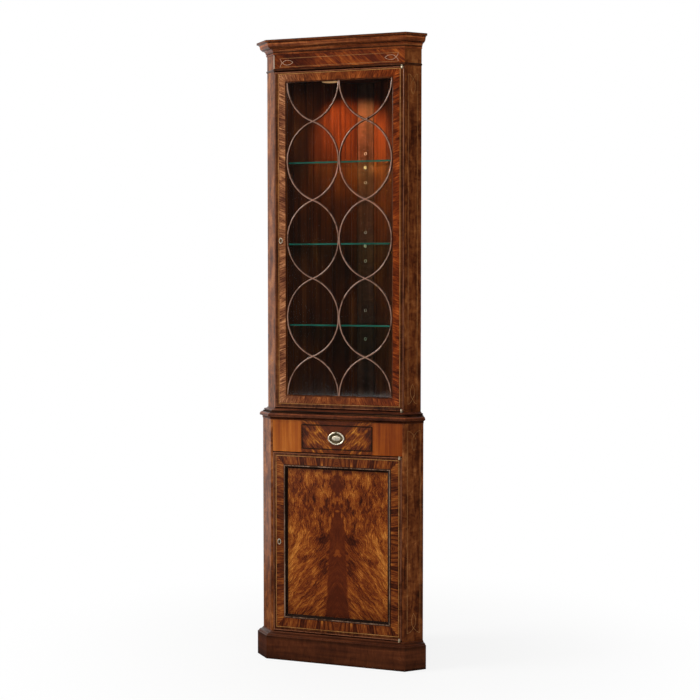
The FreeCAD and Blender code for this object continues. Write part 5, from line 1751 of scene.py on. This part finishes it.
@dataclass
class Studio:
    """Pale floor, white surround, soft lamps and the camera.

    Lengths are metres but for the lens and the sensor, and camera_turn is in degrees.

    The floor turns from floor_white to white over whitening, outward from its middle. Polish
    mirrors the floor with the two strengths of floor_mirrored, left and right of the places in
    mirror_turn along X. It mirrors the surround with the two strengths of room, behind and in
    front: room_front is the way to the front, and room_turn gives how far a ray goes that way.
    """

    camera_place: Triple = (1.82485, -5.08524, 1.43432)
    camera_turn: Triple = (90 - 3.016, 0.0, 19.84)
    lens: float = 73.96
    sensor: float = 36.0
    softboxes: tuple[Softbox, ...] = (
        Softbox("key_softbox", (-3.6, -2.2, 3.4), (0.0, 0.0, 1.2), 1.8, 150.0),
        Softbox("fill_softbox", (1.6, -4.4, 3.6), (0.0, 0.0, 1.0), 2.0, 60.0),
    )
    floor_radius: float = 12.0
    floor_colour: str = "#f2f2f0"
    floor_roughness: float = 0.7
    floor_white: float = 0.84
    whitening: Pair = (0.3, 1.6)
    floor_mirrored: Pair = (0.75, 0.05)
    mirror_turn: Pair = (-2.6, -1.4)
    sky_light: float = 0.4
    room: Pair = (0.7, 0.03)
    room_front: Triple = (0.5, -0.866, 0.0)
    room_turn: Pair = (-0.7, 0.3)

    def build(self) -> None:
        """Sets the camera, the floor, the surround and the lamps."""
        self.set_camera()
        self.set_floor()
        self.set_surround()
        for softbox in self.softboxes:
            softbox.hang()
        bpy.context.scene.view_settings.view_transform = "Standard"

    def set_camera(self) -> None:
        """Puts the camera at the photograph's place."""
        data = bpy.data.cameras.new("camera")
        data.lens = self.lens
        data.sensor_width = self.sensor
        holder = add_object("camera", data)
        holder.location = self.camera_place
        holder.rotation_euler = [math.radians(part) for part in self.camera_turn]
        bpy.context.scene.camera = holder

    def set_floor(self) -> None:
        """Lays a round pale floor that turns into the white surround and keeps the shadow."""
        disc = bmesh.new()
        bmesh.ops.create_circle(disc, cap_ends=True, segments=96, radius=self.floor_radius)
        mesh = new_mesh(disc, "floor")
        material = bpy.data.materials.new("paper_white_floor")
        material.use_nodes = True
        tree = material.node_tree
        tree.nodes.clear()
        coords = add_node(tree, "ShaderNodeTexCoord").outputs["Object"]
        reach = add_node(tree, "ShaderNodeVectorMath", {0: coords}, operation="LENGTH")
        near, far = self.whitening
        whiten = add_node(
            tree, "ShaderNodeMapRange",
            {0: reach.outputs["Value"], 1: near, 2: far, 3: self.floor_white, 4: 1.0},
            interpolation_type="SMOOTHSTEP",
        )
        path = add_node(tree, "ShaderNodeLightPath")
        through = add_node(
            tree, "ShaderNodeMath",
            {0: path.outputs["Is Transmission Ray"], 1: self.bounced(tree, path)}, operation="SUBTRACT",
        )
        seen = add_node(
            tree, "ShaderNodeMath", {0: path.outputs["Is Camera Ray"], 1: through}, operation="MAXIMUM"
        )
        share = add_node(tree, "ShaderNodeMath", {0: seen, 1: whiten}, operation="MULTIPLY")
        paper = add_node(
            tree, "ShaderNodeBsdfPrincipled",
            {"Base Color": linear(self.floor_colour), "Roughness": self.floor_roughness},
        )
        white = add_node(tree, "ShaderNodeEmission", {"Strength": 1.0})
        across = add_node(tree, "ShaderNodeSeparateXYZ", {0: coords}).outputs["X"]
        (start, end), (left, right) = self.mirror_turn, self.floor_mirrored
        sheen = add_node(tree, "ShaderNodeMapRange", {0: across, 1: start, 2: end, 3: left, 4: right})
        dim = add_node(tree, "ShaderNodeEmission", {"Strength": sheen})
        mirrored = path.outputs["Is Glossy Ray"]
        lit = add_node(tree, "ShaderNodeMixShader", {0: mirrored, 1: paper, 2: dim})
        mixed = add_node(tree, "ShaderNodeMixShader", {0: share, 1: lit, 2: white})
        add_node(tree, "ShaderNodeOutputMaterial", {"Surface": mixed})
        mesh.materials.append(material)
        add_object("floor", mesh)

    def bounced(self, tree: Tree, path: Node) -> Node:
        """Tells rays that a surface has mirrored or scattered from those straight through glass.

        Args:
            tree: the nodes that read it.
            path: the Light Path node.

        Returns:
            A node that is 1 for a mirrored or scattered ray.
        """
        return add_node(
            tree, "ShaderNodeMath", {0: path.outputs["Glossy Depth"], 1: path.outputs["Diffuse Depth"]},
            operation="ADD", use_clamp=True,
        )

    def seen_rays(self, tree: Tree, path: Node) -> Node:
        """Adds up the rays that show the background: camera, glossy and transmission.

        Args:
            tree: the nodes that read it.
            path: the Light Path node.

        Returns:
            A node that is 1 for those rays.
        """
        both = add_node(
            tree, "ShaderNodeMath",
            {0: path.outputs["Is Camera Ray"], 1: path.outputs["Is Glossy Ray"]}, operation="MAXIMUM",
        )
        return add_node(
            tree, "ShaderNodeMath", {0: both, 1: path.outputs["Is Transmission Ray"]},
            operation="MAXIMUM",
        )

    def set_surround(self) -> None:
        """Makes the white surround, with the dark studio room that the polish mirrors in front."""
        world = bpy.data.worlds.new("surround")
        world.use_nodes = True
        tree = world.node_tree
        tree.nodes.clear()
        way = add_node(tree, "ShaderNodeTexCoord").outputs["Generated"]
        facing = add_node(
            tree, "ShaderNodeVectorMath", {0: way, 1: self.room_front}, operation="DOT_PRODUCT"
        )
        (start, end), (behind, ahead) = self.room_turn, self.room
        room = add_node(
            tree, "ShaderNodeMapRange",
            {0: facing.outputs["Value"], 1: start, 2: end, 3: behind, 4: ahead},
            interpolation_type="SMOOTHSTEP",
        )
        path = add_node(tree, "ShaderNodeLightPath")
        seen = self.seen_rays(tree, path)
        strength = add_node(
            tree, "ShaderNodeMix", {0: self.bounced(tree, path), "A": 1.0, "B": room}, data_type="FLOAT"
        )
        shown = add_node(
            tree, "ShaderNodeMix", {0: seen, "A": self.sky_light, "B": strength.outputs["Result"]},
            data_type="FLOAT",
        )
        background = add_node(
            tree, "ShaderNodeBackground",
            {"Color": (1.0, 1.0, 1.0, 1.0), "Strength": shown.outputs["Result"]},
        )
        add_node(tree, "ShaderNodeOutputWorld", {"Surface": background})
        bpy.context.scene.world = world


def main() -> None:
    """Builds the sub-assemblies in order, then the studio round them."""
    logging.basicConfig(level=logging.INFO, format="%(message)s")
    parts = (
        Crown(), CantedSides(), UpperCase(), CeilingLight(), UpperDoor(), LowerCase(), LowerDoor(),
        Drawer(), Studio(),
    )
    for part in parts:
        part.build()
        LOG.info("built %s", type(part).__name__)


if __name__ == "__main__":
    main()
